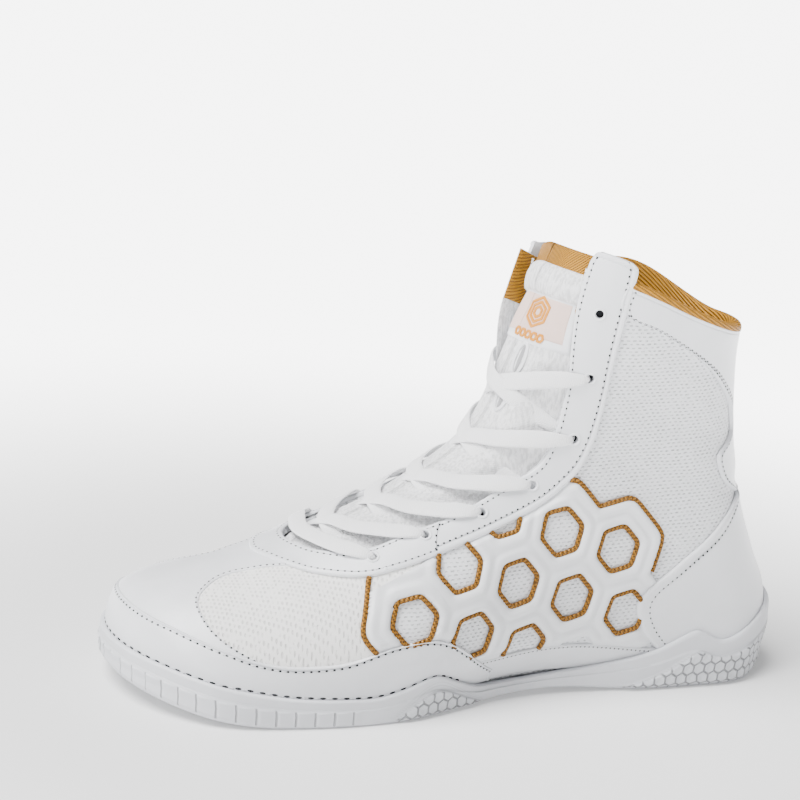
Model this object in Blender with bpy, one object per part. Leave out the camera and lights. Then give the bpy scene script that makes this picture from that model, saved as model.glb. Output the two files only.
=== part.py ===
"""Left wrestling shoe: a hollow upper on a last, its overlays, tongue and laces, on a cup sole.

Units are metres, +Z is up, the toe points to -X and the outer (lateral) side of the foot to -Y.
Every form comes from one last. A point of the last is named by two shares: rise, from the feather
line (0) to the collar line (1), and turn, from the ridge in front (0) to the back seam (1), which is
negative on the lateral side and positive on the medial side. Tables hold shares of the named sizes.
"""
import math

import bmesh
import bpy
import numpy as np
from mathutils import Vector

# Driving sizes of the last
SOLE_LENGTH = 0.285
BALL_WIDTH = 0.101
COLLAR_HEIGHT = 0.150
TOE_SPRING = 0.009
ARCH_RISE = 0.0028
HEEL_KICK = 0.007
MEDIAL_DIP = 0.005
MEDIAL_LIFT = 0.0105

# Layers, from the inside out
UPPER_WALL = 0.0020
OVERLAY = 0.0012
CAGE = 0.0010
TONGUE = 0.0030
INSOLE = 0.0030
SLAB = 0.0045
CUP_WALL = 0.0024
LINING = 0.0010
GAP = 0.0003
CUP_GAP = 0.0006

# Small parts
EYELET_BORE = 0.0042
LACE_WIDTH = 0.0075
LACE_THICK = 0.0011
CAGE_PITCH = 0.027
CAGE_RIB = 0.0095
CAGE_TILT = math.radians(17)
FORE_DISC = 0.0170
HEEL_DISC = 0.0145
DISC_THICK = 0.0018
GROOVE_DEPTH = 0.0012
GROOVE_WIDTH = 0.0018
RIB_PITCH = 0.0078
RIB_WIDTH = 0.0030
RIB_HEIGHT = 0.0007
HEX_RECESS = 0.0007
TAB_WIDTH = 0.008
TAB_HEIGHT = 0.013
TAB_THICK = 0.0014

# Grid of the upper: columns on each side, of which some lie in front of the throat edge
SIDE_COLUMNS = 16
THROAT_COLUMNS = 4
SOLE_COLUMNS = 24
TONGUE_COLUMNS = 8

# Ridge of the last from toe to shin: along the sole length, up the collar height
RIDGE = (
    (0.024, 0.040), (0.018, 0.095), (0.015, 0.160), (0.026, 0.225), (0.055, 0.268),
    (0.105, 0.300), (0.175, 0.337), (0.246, 0.387), (0.323, 0.450), (0.386, 0.505),
    (0.446, 0.575), (0.492, 0.645), (0.522, 0.727), (0.538, 0.827), (0.552, 0.947),
    (0.570, 1.067), (0.588, 1.180), (0.606, 1.300),
)
# Back curve of the heel, the same way
BACK = (
    (0.980, 0.050), (0.985, 0.100), (0.987, 0.180), (0.979, 0.260), (0.958, 0.340),
    (0.930, 0.467), (0.910, 0.600), (0.893, 0.767), (0.884, 0.907), (0.885, 1.020),
    (0.889, 1.130),
)
# Plan of the last: along, centre line, lateral edge and fullness, medial edge and fullness
PLAN = (
    (0.00, 0.119, 0.440, 0.440, 0.420, 0.420),
    (0.06, 0.104, 0.450, 0.450, 0.425, 0.425),
    (0.12, 0.079, 0.460, 0.470, 0.430, 0.430),
    (0.20, 0.045, 0.465, 0.480, 0.430, 0.435),
    (0.28, 0.020, 0.465, 0.485, 0.410, 0.430),
    (0.36, 0.005, 0.440, 0.470, 0.360, 0.405),
    (0.44, 0.000, 0.370, 0.430, 0.280, 0.365),
    (0.52, 0.000, 0.310, 0.385, 0.235, 0.340),
    (0.60, 0.000, 0.295, 0.360, 0.240, 0.330),
    (0.68, 0.000, 0.310, 0.350, 0.275, 0.335),
    (0.76, 0.000, 0.330, 0.350, 0.310, 0.335),
    (0.90, 0.000, 0.340, 0.350, 0.325, 0.335),
    (1.00, 0.000, 0.340, 0.350, 0.325, 0.335),
)
# Half width of the shaft: up the collar height, across the ball width
SHAFT = ((0.333, 0.327), (0.567, 0.302), (0.767, 0.317), (1.000, 0.356), (1.200, 0.381))
# Height of the collar line: along the sole length, up the collar height
COLLAR = (
    (0.00, 1.400), (0.56, 1.155), (0.67, 1.095), (0.76, 1.030),
    (0.84, 0.985), (0.90, 0.980), (1.00, 0.980),
)
# Roundness of the toe box: along, share of the ball width over which the ridge closes
RIDGE_ROUND = ((0.00, 0.455), (0.105, 0.396), (0.281, 0.455), (1.00, 0.455))
BACK_ROUND = 0.356
SPRING_END = 0.215
ARCH_SPAN = (0.40, 0.78)
KICK_START = 0.915

# Half opening of the throat: rise, turn
THROAT = (
    (0.275, 0.120), (0.290, 0.148), (0.310, 0.162), (0.345, 0.175), (0.395, 0.205), (0.455, 0.240),
    (0.515, 0.268), (0.610, 0.250), (0.735, 0.238), (0.870, 0.205), (1.000, 0.180),
)
THROAT_START = 0.275
MEDIAL_REACH = 0.90
UPPER_RISES = (
    0.000, 0.025, 0.060, 0.100, 0.145, 0.200, 0.243, 0.275,
    0.315, 0.370, 0.430, 0.510, 0.620, 0.740, 0.860, 1.000,
)

# Eyestay, one side from collar to the bar over the vamp: outer turn, outer rise, inner turn, inner rise
EYESTAY = (
    (0.325, 1.034, 0.196, 1.020), (0.338, 0.985, 0.186, 0.985), (0.347, 0.900, 0.198, 0.900),
    (0.356, 0.705, 0.240, 0.735), (0.358, 0.600, 0.252, 0.610), (0.365, 0.507, 0.270, 0.515),
    (0.355, 0.430, 0.242, 0.455), (0.319, 0.374, 0.207, 0.395), (0.277, 0.327, 0.177, 0.345),
    (0.245, 0.283, 0.163, 0.309), (0.222, 0.258, 0.146, 0.289), (0.165, 0.250, 0.105, 0.281),
    (0.085, 0.248, 0.052, 0.277), (0.000, 0.245, 0.000, 0.275),
)
# Eyelets of the lateral side: turn, rise
EYELETS = (
    (0.187, 0.291), (0.206, 0.344), (0.250, 0.400), (0.298, 0.467),
    (0.309, 0.592), (0.298, 0.747), (0.270, 0.905),
)
# Top line of the toe cap: turn, rise
TOE_CAP = (
    (-0.500, 0.045), (-0.457, 0.114), (-0.419, 0.146), (-0.379, 0.139), (-0.339, 0.106),
    (-0.289, 0.094), (-0.244, 0.096), (-0.205, 0.104), (-0.163, 0.110), (-0.121, 0.114),
    (-0.060, 0.115), (0.000, 0.115), (0.060, 0.115), (0.121, 0.114), (0.163, 0.110),
    (0.205, 0.104), (0.244, 0.096), (0.289, 0.094), (0.339, 0.106), (0.379, 0.139),
    (0.419, 0.146), (0.457, 0.114), (0.500, 0.045),
)
# Front edge of the heel counter and of the collar panel: rise, turn
COUNTER = (
    (0.014, 0.703), (0.070, 0.684), (0.145, 0.650), (0.225, 0.626),
    (0.300, 0.647), (0.375, 0.685), (0.440, 0.740), (0.480, 0.800), (0.500, 0.850),
)
COLLAR_PANEL = (
    (0.508, 0.850), (0.547, 0.770), (0.590, 0.733), (0.630, 0.722), (0.662, 0.775), (0.700, 0.828),
    (0.760, 0.800), (0.820, 0.730), (0.872, 0.650), (0.905, 0.550),
    (0.920, 0.460), (0.926, 0.362), (0.998, 0.352),
)
# Lowest rise of the overlays, and how far each keeps from the cage
OVERLAY_FOOT = 0.014
KEEP_TURN = 0.004
KEEP_RISE = 0.004
WAIST_BAND = ((0.512, 0.072), (0.560, 0.078), (0.610, 0.078), (0.660, 0.078))
# Cage: middle cell in side view, cells as columns and rows from it, and the reach of the sheet
CAGE_MIDDLE = (0.520, 0.330)
CAGE_CELLS = ((-1, 0), (0, 0), (1, 0), (-1, -1), (0, -1), (1, -1), (-1, 1), (0, 1), (1, 1), (2, 0))
CAGE_TURNS = (0.285, 0.800)
CAGE_RISES = (0.085, 0.520)
# Tongue: rows from the vamp up, reach under the throat's edges, share of the throat that it fills
TONGUE_RISES = (
    0.240, 0.260, 0.280, 0.305, 0.345, 0.400, 0.455, 0.515, 0.580, 0.660, 0.760, 0.860, 0.960, 1.030,
)
TONGUE_OVERLAP = 0.075
TONGUE_CROWN = 0.82
# Label on the tongue: rise, lateral turn, medial turn
LABEL = ((0.800, -0.182, 0.095), (0.905, -0.165, 0.085))
# Gold lining of the collar: first turn in front, and how far down it reaches inside
BINDING_START = 0.345
BINDING_RISE = 0.90
# Heel loop: middle in rise
TAB_RISE = 0.628

# Top line of the cup wall: along the sole length, up the collar height
WALL_TOP = (
    (0.000, 0.140), (0.035, 0.133), (0.070, 0.120), (0.130, 0.097), (0.200, 0.077), (0.270, 0.070),
    (0.315, 0.070), (0.355, 0.087), (0.400, 0.110), (0.442, 0.080), (0.480, 0.053), (0.526, 0.050),
    (0.568, 0.053), (0.645, 0.067), (0.709, 0.087), (0.761, 0.113), (0.807, 0.153), (0.828, 0.160),
    (0.860, 0.133), (0.884, 0.133), (0.919, 0.160), (0.965, 0.200), (1.000, 0.220),
)
# Side of the sole from the floor to the rim: share of the wall's height, share of the cup's wall
SIDE_STEPS = ((0.00, 0.45), (0.14, 1.00), (0.62, 1.00), (0.68, 0.78), (1.00, 0.74))
# Pods that stand out of the side: first and last place along, and how far out in walls of the cup
PODS = ((0.335, 0.490, 0.45), (0.690, 0.935, 0.55))
# Hexagons in the side of the pods: along, up the collar height
POD_HEXES = (
    (0.372, 0.042), (0.404, 0.042), (0.436, 0.042), (0.404, 0.078),
    (0.761, 0.042), (0.793, 0.042), (0.825, 0.042), (0.857, 0.044), (0.809, 0.080), (0.841, 0.082),
)
HEX_SIZE = 0.0034
RIBS_ALONG = (0.030, 0.270)
RIB_SHARES = (0.17, 0.60)

# Grooves of the tread: along, across the ball width from the centre line
GROOVES = (
    ((0.055, -0.160), (0.110, 0.060), (0.150, 0.220), (0.185, 0.430)),
    ((0.080, -0.215), (0.135, 0.000), (0.175, 0.160), (0.215, 0.400)),
    ((0.200, -0.395), (0.270, -0.250), (0.345, -0.145), (0.428, -0.085), (0.510, -0.010), (0.560, 0.020)),
    ((0.205, -0.330), (0.280, -0.180), (0.350, -0.090), (0.432, -0.030), (0.505, 0.050)),
    ((0.155, 0.060), (0.210, -0.040), (0.270, -0.110), (0.330, -0.130)),
    ((0.395, -0.160), (0.450, -0.210), (0.505, -0.260)),
    ((0.600, -0.190), (0.660, -0.150), (0.730, -0.150), (0.790, -0.190)),
    ((0.600, 0.140), (0.660, 0.130), (0.730, 0.130), (0.790, 0.170)),
)
FORE_DISC_AT = (0.288, 0.228)
HEEL_DISC_AT = (0.860, 0.030)
RING_GROOVES = (1.36,)
# Undersides of the discs: share of the radius, share of the thickness cut away
FORE_DISC_RINGS = (
    (1.00, 0.00), (0.90, 0.00), (0.86, 0.35), (0.72, 0.35), (0.68, 0.00), (0.40, 0.00), (0.36, 0.35),
)
HEEL_DISC_RINGS = ((1.00, 0.00), (0.92, 0.00), (0.90, 0.20))

# Colours: red, green, blue, roughness, metallic
FINISHES = {
    "white_leather": (0.86, 0.87, 0.89, 0.42, 0.0),
    "white_knit": (0.84, 0.85, 0.86, 0.85, 0.0),
    "white_rubber": (0.82, 0.83, 0.85, 0.55, 0.0),
    "tongue_knit": (0.83, 0.83, 0.83, 0.90, 0.0),
    "gold_webbing": (0.50, 0.29, 0.06, 0.60, 0.0),
    "gold_rubber": (0.42, 0.24, 0.05, 0.50, 0.0),
    "lace_cotton": (0.88, 0.88, 0.88, 0.90, 0.0),
    "insole_foam": (0.75, 0.74, 0.72, 0.95, 0.0),
    "label_satin": (0.90, 0.62, 0.40, 0.55, 0.0),
}


def spline(rows, per_row=12):
    """Smooth curve through the rows of a table, of any width."""
    points = np.array(rows, float)
    points = np.vstack([2 * points[0] - points[1], points, 2 * points[-1] - points[-2]])
    t = np.linspace(0, 1, per_row, endpoint=False)[:, None]
    runs = []
    for a, b, c, d in zip(points, points[1:], points[2:], points[3:]):
        square, cube = 2 * a - 5 * b + 4 * c - d, 3 * b - a - 3 * c + d
        runs.append(b + ((c - a) * t + square * t**2 + cube * t**3) / 2)
    runs.append(points[-2:-1])
    return np.vstack(runs)


RIDGE_CURVE = spline(RIDGE) * (SOLE_LENGTH, COLLAR_HEIGHT)
BACK_CURVE = spline(BACK) * (SOLE_LENGTH, COLLAR_HEIGHT)
PLAN_CURVE = spline(PLAN)
COLLAR_CURVE = spline(COLLAR)
SHAFT_CURVE = spline(SHAFT)
WALL_CURVE = spline(WALL_TOP, 4)


def ease(t):
    """Smooth step from 0 to 1."""
    t = np.clip(t, 0, 1)
    return t * t * (3 - 2 * t)


def floor_line(x):
    """Height of the sole's underside: toe spring, flat forefoot, arch, flat heel, kick."""
    at = x / SOLE_LENGTH
    spring = TOE_SPRING * np.clip((SPRING_END - at) / SPRING_END, 0, 1) ** 1.9
    arch = np.clip((at - ARCH_SPAN[0]) / (ARCH_SPAN[1] - ARCH_SPAN[0]), 0, 1)
    kick = HEEL_KICK * np.clip((at - KICK_START) / (1 - KICK_START), 0, 1.2) ** 1.6
    return spring + ARCH_RISE * np.sin(math.pi * arch) ** 2 + kick


def feather_line(x):
    """Height at which the upper meets the sole."""
    return floor_line(x) + SLAB + 2 * GAP


def collar_line(x):
    return np.interp(x / SOLE_LENGTH, COLLAR_CURVE[:, 0], COLLAR_CURVE[:, 1]) * COLLAR_HEIGHT


def plan(x, column):
    """A column of the plan table at x, as a length."""
    return np.interp(x / SOLE_LENGTH, PLAN_CURVE[:, 0], PLAN_CURVE[:, column]) * BALL_WIDTH


def rise_of(x, z):
    low = feather_line(x)
    return (z - low) / (collar_line(x) - low)


def away(x, z, curve):
    """Distance in side view from points to a curve."""
    start, run = curve[:-1], np.diff(curve, axis=0)
    offset = np.stack([x, z], -1)[..., None, :] - start
    share = np.clip((offset * run).sum(-1) / (run**2).sum(-1), 0, 1)
    return np.sqrt(((offset - share[..., None] * run) ** 2).sum(-1).min(-1))


def closing(distance, reach, full=2.4, round_off=2.1):
    """Share of the full width, dropping to 0 on the curve."""
    return (1 - np.clip(1 - distance / reach, 0, 1) ** full) ** (1 / round_off)


def half_width(x, z, medial):
    """Half width of the last in side view, on the medial or the lateral side."""
    edge = np.where(medial, plan(x, 4), plan(x, 2))
    full = np.where(medial, plan(x, 5), plan(x, 3))
    up = z / COLLAR_HEIGHT
    foot = edge + (full - edge) * ease((z - feather_line(x)) / (0.133 * COLLAR_HEIGHT))
    shaft = np.interp(up, SHAFT_CURVE[:, 0], SHAFT_CURVE[:, 1]) * BALL_WIDTH
    mix = ease((up - 0.233) / 0.40) * ease((x / SOLE_LENGTH - 0.351) / 0.246)
    table = np.array(RIDGE_ROUND)
    toe_round = np.interp(x / SOLE_LENGTH, table[:, 0], table[:, 1]) * BALL_WIDTH
    front = closing(away(x, z, RIDGE_CURVE), toe_round)
    back = closing(away(x, z, BACK_CURVE), BACK_ROUND * BALL_WIDTH, 2.2)
    return (foot * (1 - mix) + shaft * mix) * front * back


def reach_of(curve):
    """Rises and x of a profile curve, for looking up where a ring of the last meets it."""
    rises = np.maximum.accumulate(rise_of(curve[:, 0], curve[:, 1]))
    return rises + np.arange(len(rises)) * 1e-9, curve[:, 0]


RIDGE_REACH = reach_of(RIDGE_CURVE)
BACK_REACH = reach_of(BACK_CURVE)


def last(rise, turn):
    """Points of the last at rise and turn, which may be arrays."""
    rise, turn = np.broadcast_arrays(np.asarray(rise, float), np.asarray(turn, float))
    turn = (turn + 1) % 2 - 1
    front = np.interp(rise, *RIDGE_REACH)
    back = np.interp(rise, *BACK_REACH)
    x = front + (back - front) * (1 - np.cos(math.pi * np.abs(turn))) / 2
    z = feather_line(x) * (1 - rise) + collar_line(x) * rise
    front_dip = np.sin(math.pi * np.clip(turn / 0.45, 0, 1)) ** 2
    back_lift = np.sin(math.pi * np.clip((turn - 0.35) / 0.62, 0, 1)) ** 2
    z = z + rise**3 * (MEDIAL_LIFT * back_lift - MEDIAL_DIP * front_dip)
    width = half_width(x, z, turn > 0)
    width = np.where((np.abs(turn) < 1e-9) | (np.abs(turn) > 1 - 1e-9), 0, width)
    return np.stack([x, plan(x, 1) + np.sign(turn) * width, z], -1)


def outward(rise, turn, step=0.004):
    """Unit normals of the last."""
    up = last(rise + step, turn) - last(rise - step, turn)
    round_ = last(rise, turn + step) - last(rise, turn - step)
    normal = np.cross(up, round_)
    return normal / np.linalg.norm(normal, axis=-1, keepdims=True)


def skin(rise, turn, out=0.0):
    """Points at a distance out of the last."""
    rise, turn = np.broadcast_arrays(np.asarray(rise, float), np.asarray(turn, float))
    return last(rise, turn) + outward(rise, turn) * np.asarray(out)[..., None]


def sideways(rise, turn):
    """Level unit normals of the last."""
    normal = outward(rise, turn) * (1, 1, 0)
    return normal / np.linalg.norm(normal, axis=-1, keepdims=True)


def turn_at(along, up, medial=False):
    """Rise and turn of the place seen from the side at these shares of length and collar height."""
    x, z = along * SOLE_LENGTH, up * COLLAR_HEIGHT
    rise = rise_of(x, z)
    front, back = np.interp(rise, *RIDGE_REACH), np.interp(rise, *BACK_REACH)
    turn = np.arccos(1 - 2 * np.clip((x - front) / (back - front), 0, 1)) / math.pi
    return rise, turn if medial else -turn


# Making meshes

def finish(name, mesh, material):
    """Object of a bmesh, with its faces turned outward, smooth with sharp creases."""
    bmesh.ops.recalc_face_normals(mesh, faces=mesh.faces)
    data = bpy.data.meshes.new(name)
    mesh.to_mesh(data)
    mesh.free()
    data.shade_smooth()
    data.set_sharp_from_angle(angle=math.radians(38))
    part = bpy.data.objects.new(name, data)
    bpy.context.collection.objects.link(part)
    part.parent = SHOE
    if material:
        data.materials.append(MATERIALS[material])
    else:
        part.hide_render = True
        part.display_type = "WIRE"
    return part


def apply_boolean(part, tool, operation, name, solver="EXACT"):
    step = part.modifiers.new(name, "BOOLEAN")
    step.operation = operation
    step.solver = solver
    step.object = tool
    return part


def quads(mesh, grid, wrap=False, keep=None, flip=False):
    """Faces between the rows and columns of a grid of vertices."""
    rows, columns = len(grid), len(grid[0])
    for i in range(rows - 1):
        for j in range(columns if wrap else columns - 1):
            if keep is not None and not keep[i][j]:
                continue
            k = (j + 1) % columns
            a, b, c, d = grid[i][j], grid[i + 1][j], grid[i + 1][k], grid[i][k]
            for corners in ((a, b, c), (a, c, d)):
                if len(set(corners)) == 3:
                    mesh.faces.new(corners[::-1] if flip else corners)


def sheet(rises, turns, low, high, keep=None, wrap=False):
    """Closed bmesh of a sheet of the last, from low to high out of it.

    rises and turns are grids of equal shape. With wrap, the last column joins the first. keep
    leaves cells out, and a wall closes every edge that is left open.
    """
    mesh = bmesh.new()
    layers = []
    for out in (high, low):
        points = skin(rises, turns, np.broadcast_to(out, rises.shape))
        layers.append([[mesh.verts.new(point) for point in row] for row in points])
    outer, inner = layers
    quads(mesh, outer, wrap, keep)
    quads(mesh, inner, wrap, keep, flip=True)
    mate = {}
    for row, other in zip(outer, inner):
        mate.update(zip(row, other))
    for edge in [edge for edge in mesh.edges if len(edge.link_faces) == 1 and edge.verts[0] in mate]:
        a, b = edge.verts
        mesh.faces.new((a, b, mate[b], mate[a]))
    bmesh.ops.delete(mesh, geom=[v for v in mesh.verts if not v.link_faces], context="VERTS")
    return mesh


def band(edge_a, edge_b, across=3):
    """Grids of rises and turns between two curves of rows (rise, turn)."""
    share = np.linspace(0, 1, across + 1)[None, :]
    a, b = np.asarray(edge_a), np.asarray(edge_b)
    rises = a[:, :1] * (1 - share) + b[:, :1] * share
    turns = a[:, 1:] * (1 - share) + b[:, 1:] * share
    return rises, turns


def prism(points, axis, low, high):
    """Closed bmesh of an outline pushed along an axis: 1 is Y and 2 is Z."""
    mesh = bmesh.new()
    rings = []
    for level in (low, high):
        ring = []
        for a, b in points:
            ring.append(mesh.verts.new((a, level, b) if axis == 1 else (a, b, level)))
        rings.append(ring)
    mesh.faces.new(rings[0])
    mesh.faces.new(rings[1])
    quads(mesh, rings, wrap=True)
    return mesh


def join(meshes):
    """One bmesh of several."""
    whole = bmesh.new()
    for mesh in meshes:
        data = bpy.data.meshes.new("joined")
        mesh.to_mesh(data)
        mesh.free()
        whole.from_mesh(data)
        bpy.data.meshes.remove(data)
    return whole


def hexagon(x, y, radius, tilt=0.0):
    angles = tilt + np.arange(6) * math.pi / 3
    return [(x + radius * math.cos(angle), y + radius * math.sin(angle)) for angle in angles]


def above_wall(part, solver="EXACT"):
    """Trims a piece to the clearance over the upper's wall."""
    return apply_boolean(part, WALL_FORM, "DIFFERENCE", "clear_of_wall", solver)


# Upper

def upper_turns(rises):
    """Columns of the upper, with one on each edge of the throat."""
    table = spline(THROAT, 6)
    opening = np.interp(rises, table[:, 0], table[:, 1])
    front = np.linspace(0, 1, THROAT_COLUMNS + 1)[None, :] * opening[:, None]
    share = np.linspace(0, 1, SIDE_COLUMNS - THROAT_COLUMNS + 1)[None, 1:]
    back = opening[:, None] + (1 - opening[:, None]) * share
    side = np.hstack([front, back])
    reach = 1 - (1 - MEDIAL_REACH) * (1 - side)
    return np.hstack([-side[:, ::-1], (side * reach)[:, 1:-1]])


def upper_grid():
    rises = np.array(UPPER_RISES)
    turns = upper_turns(rises)
    return np.repeat(rises[:, None], turns.shape[1], axis=1), turns


def make_wall_form():
    """Hidden form just outside the upper's wall, which trims what lies on it."""
    rises, turns = upper_grid()
    rises[-1] += 2 * GAP / COLLAR_HEIGHT
    return finish("wall_form", sheet(rises, turns, -4 * UPPER_WALL, GAP, wrap=True), None)


def make_upper():
    rises, turns = upper_grid()
    keep = np.ones(rises.shape, bool)
    start = UPPER_RISES.index(THROAT_START)
    keep[start:, SIDE_COLUMNS - THROAT_COLUMNS:SIDE_COLUMNS + THROAT_COLUMNS] = False
    upper = finish("upper", sheet(rises, turns, -UPPER_WALL, 0.0, keep, wrap=True), "white_knit")
    return apply_boolean(upper, EYELET_TOOL, "DIFFERENCE", "eyelets")


def eyelet_places(medial):
    sign = MEDIAL_REACH if medial else -1
    return [(rise, sign * turn) for turn, rise in EYELETS]


def make_eyelet_tool():
    """Hidden pins through eyestay and wall."""
    pins = []
    for medial in (False, True):
        for rise, turn in eyelet_places(medial):
            pin = bmesh.new()
            bmesh.ops.create_cone(pin, cap_ends=True, segments=6, radius1=EYELET_BORE / 2,
                                  radius2=EYELET_BORE / 2, depth=4 * (UPPER_WALL + OVERLAY))
            normal = Vector(outward(rise, turn))
            pin.transform(normal.to_track_quat("Z", "Y").to_matrix().to_4x4())
            bmesh.ops.translate(pin, verts=pin.verts, vec=Vector(last(rise, turn)))
            pins.append(pin)
    return finish("eyelet_pins", join(pins), None)


# Overlays

def overlay(rises, turns, thick=OVERLAY):
    """Sheet that starts inside the wall, to be trimmed, and ends a thickness above it."""
    return sheet(rises, turns, -UPPER_WALL / 2, GAP + thick)


def make_eyestay():
    """U of leather round the throat, over both sides and the vamp."""
    table = spline(EYESTAY, 2)
    lateral = table * (-1, 1, -1, 1)
    medial = (table * (MEDIAL_REACH, 1, MEDIAL_REACH, 1))[::-1][1:]
    rows = np.vstack([lateral, medial])
    rises, turns = band(rows[:, [1, 0]], rows[:, [3, 2]], across=2)
    eyestay = finish("eyestay", overlay(rises, turns), "white_leather")
    apply_boolean(eyestay, EYELET_TOOL, "DIFFERENCE", "eyelets")
    return above_wall(eyestay)


def make_toe_cap():
    top = spline(TOE_CAP, 1)
    low = np.stack([np.full(len(top), OVERLAY_FOOT), top[:, 0]], -1)
    rises, turns = band(low, top[:, ::-1], across=4)
    return above_wall(finish("toe_cap", overlay(rises, turns), "white_leather"))


def make_round_back(name, table, columns):
    """Panel that wraps the heel from its lateral front edge to the medial one."""
    rows = np.array(table)
    rises = np.repeat(rows[:, :1], columns + 1, axis=1)
    share = np.linspace(0, 1, columns + 1)[None, :]
    turns = -rows[:, 1:] + 2 * share * (rows[:, 1:] - 1)
    return above_wall(finish(name, overlay(rises, turns), "white_leather"))


def make_waist_bands():
    for side, sign in (("lateral", -1), ("medial", 1)):
        top = spline(WAIST_BAND, 2)
        low = np.stack([np.full(len(top), OVERLAY_FOOT), sign * top[:, 0]], -1)
        high = np.stack([top[:, 1], sign * top[:, 0]], -1)
        rises, turns = band(low, high, across=2)
        above_wall(finish("waist_band_" + side, overlay(rises, turns), "white_leather"))


# Cage

def cage_cell(column, row):
    """Middle of a cell in side view."""
    x = CAGE_PITCH * (column + row / 2)
    z = CAGE_PITCH * row * math.sqrt(3) / 2
    along = x * math.cos(CAGE_TILT) + z * math.sin(CAGE_TILT)
    up = z * math.cos(CAGE_TILT) - x * math.sin(CAGE_TILT)
    return CAGE_MIDDLE[0] * SOLE_LENGTH + along, CAGE_MIDDLE[1] * COLLAR_HEIGHT + up


def cell_prism(cell, radius, reach):
    return prism(hexagon(*cage_cell(*cell), radius, math.pi / 6 - CAGE_TILT), 1, *reach)


def make_cages():
    """Ribs of a honeycomb on each side of the waist, with windows over the mesh."""
    for side, sign in (("lateral", -1), ("medial", 1)):
        reach = sorted((0.0, sign * BALL_WIDTH))
        rim = (CAGE_PITCH + CAGE_RIB) / math.sqrt(3)
        outline = finish("cage_outline_" + side, cell_prism(CAGE_CELLS[0], rim, reach), None)
        for number, cell in enumerate(CAGE_CELLS[1:]):
            more = finish("cage_cell_%s_%d" % (side, number), cell_prism(cell, rim, reach), None)
            apply_boolean(outline, more, "UNION", "cell_%d" % number, "MANIFOLD")
        opening = (CAGE_PITCH - CAGE_RIB) / math.sqrt(3)
        holes = [cell_prism(cell, opening, reach) for cell in CAGE_CELLS]
        windows = finish("cage_windows_" + side, join(holes), None)
        levels, columns = np.linspace(*CAGE_RISES, 7), np.linspace(*CAGE_TURNS, 9)
        turns, rises = np.meshgrid(sign * columns, levels)
        cage = finish("cage_" + side, overlay(rises, turns, CAGE), "white_leather")
        apply_boolean(cage, outline, "INTERSECT", "outline", "MANIFOLD")
        apply_boolean(cage, windows, "DIFFERENCE", "windows", "MANIFOLD")
        for keeper in CAGE_KEEPERS:
            apply_boolean(cage, keeper, "DIFFERENCE", "clear_of_" + keeper.name, "MANIFOLD")
        above_wall(cage, "MANIFOLD")


def make_cage_keepers():
    """Hidden forms a little larger than the overlays, which the cage stops at."""
    keepers = []

    def keep_off(name, rises, turns):
        keepers.append(finish(name + "_keeper", sheet(rises, turns, -UPPER_WALL, 3 * OVERLAY), None))

    table = spline(EYESTAY, 2)
    for side, reach in (("lateral", -1), ("medial", MEDIAL_REACH)):
        rises, turns = band(table[:, [1, 0]] * (1, reach), table[:, [3, 2]] * (1, reach), across=1)
        rises[:, 0] -= GAP / COLLAR_HEIGHT
        turns[:, 0] += KEEP_TURN * np.sign(reach)
        keep_off("eyestay_" + side, rises, turns)
        sign = math.copysign(1, reach)
        top = spline(WAIST_BAND, 2) + (0, KEEP_RISE)
        low = [(0.0, sign * turn) for turn, _ in top]
        high = [(rise, sign * turn) for turn, rise in top]
        keep_off("waist_" + side, *band(low, high, across=1))
    top = spline(TOE_CAP, 1) * (1 + KEEP_TURN, 1) + (0, KEEP_RISE)
    keep_off("toe_cap", *band([(0.0, turn) for turn, _ in top], top[:, ::-1], across=1))
    rows = COUNTER - np.array((0, KEEP_TURN))
    rises = np.repeat(rows[:, :1], 17, axis=1)
    keep_off("counter", rises, -rows[:, 1:] + 2 * np.linspace(0, 1, 17)[None, :] * (rows[:, 1:] - 1))
    return keepers


# Tongue and laces

def tongue_out(rise, turn):
    """How far the tongue's face lies from the last: it fills the throat and dives under its edges."""
    table = spline(THROAT, 6)
    opening = np.interp(rise, table[:, 0], table[:, 1])
    under = -(UPPER_WALL + 4 * GAP)
    crown = ease((TONGUE_CROWN - np.abs(turn) / opening) / 0.45) * ease((rise - THROAT_START - 0.012) / 0.04)
    return under * (1 - crown)


def make_tongue():
    rises = np.array(TONGUE_RISES)
    table = spline(THROAT, 6)
    opening = np.interp(rises, table[:, 0], table[:, 1])
    share = np.linspace(-1, 1, TONGUE_COLUMNS + 1)[None, :]
    turns = share * (opening + TONGUE_OVERLAP)[:, None]
    turns = np.where(turns > 0, turns * MEDIAL_REACH, turns)
    rises = np.repeat(rises[:, None], TONGUE_COLUMNS + 1, axis=1)
    face = tongue_out(rises, turns)
    return finish("tongue", sheet(rises, turns, face - TONGUE, face), "tongue_knit")


def make_tongue_label():
    edges = []
    for rise, lateral, medial in LABEL:
        edges.append([(rise, turn) for turn in np.linspace(lateral, medial, 5)])
    rises, turns = band(*edges, across=3)
    face = tongue_out(rises, turns)
    return finish("tongue_label", sheet(rises, turns, face + 3 * GAP, face + 3 * GAP + LINING), "label_satin")


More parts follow.
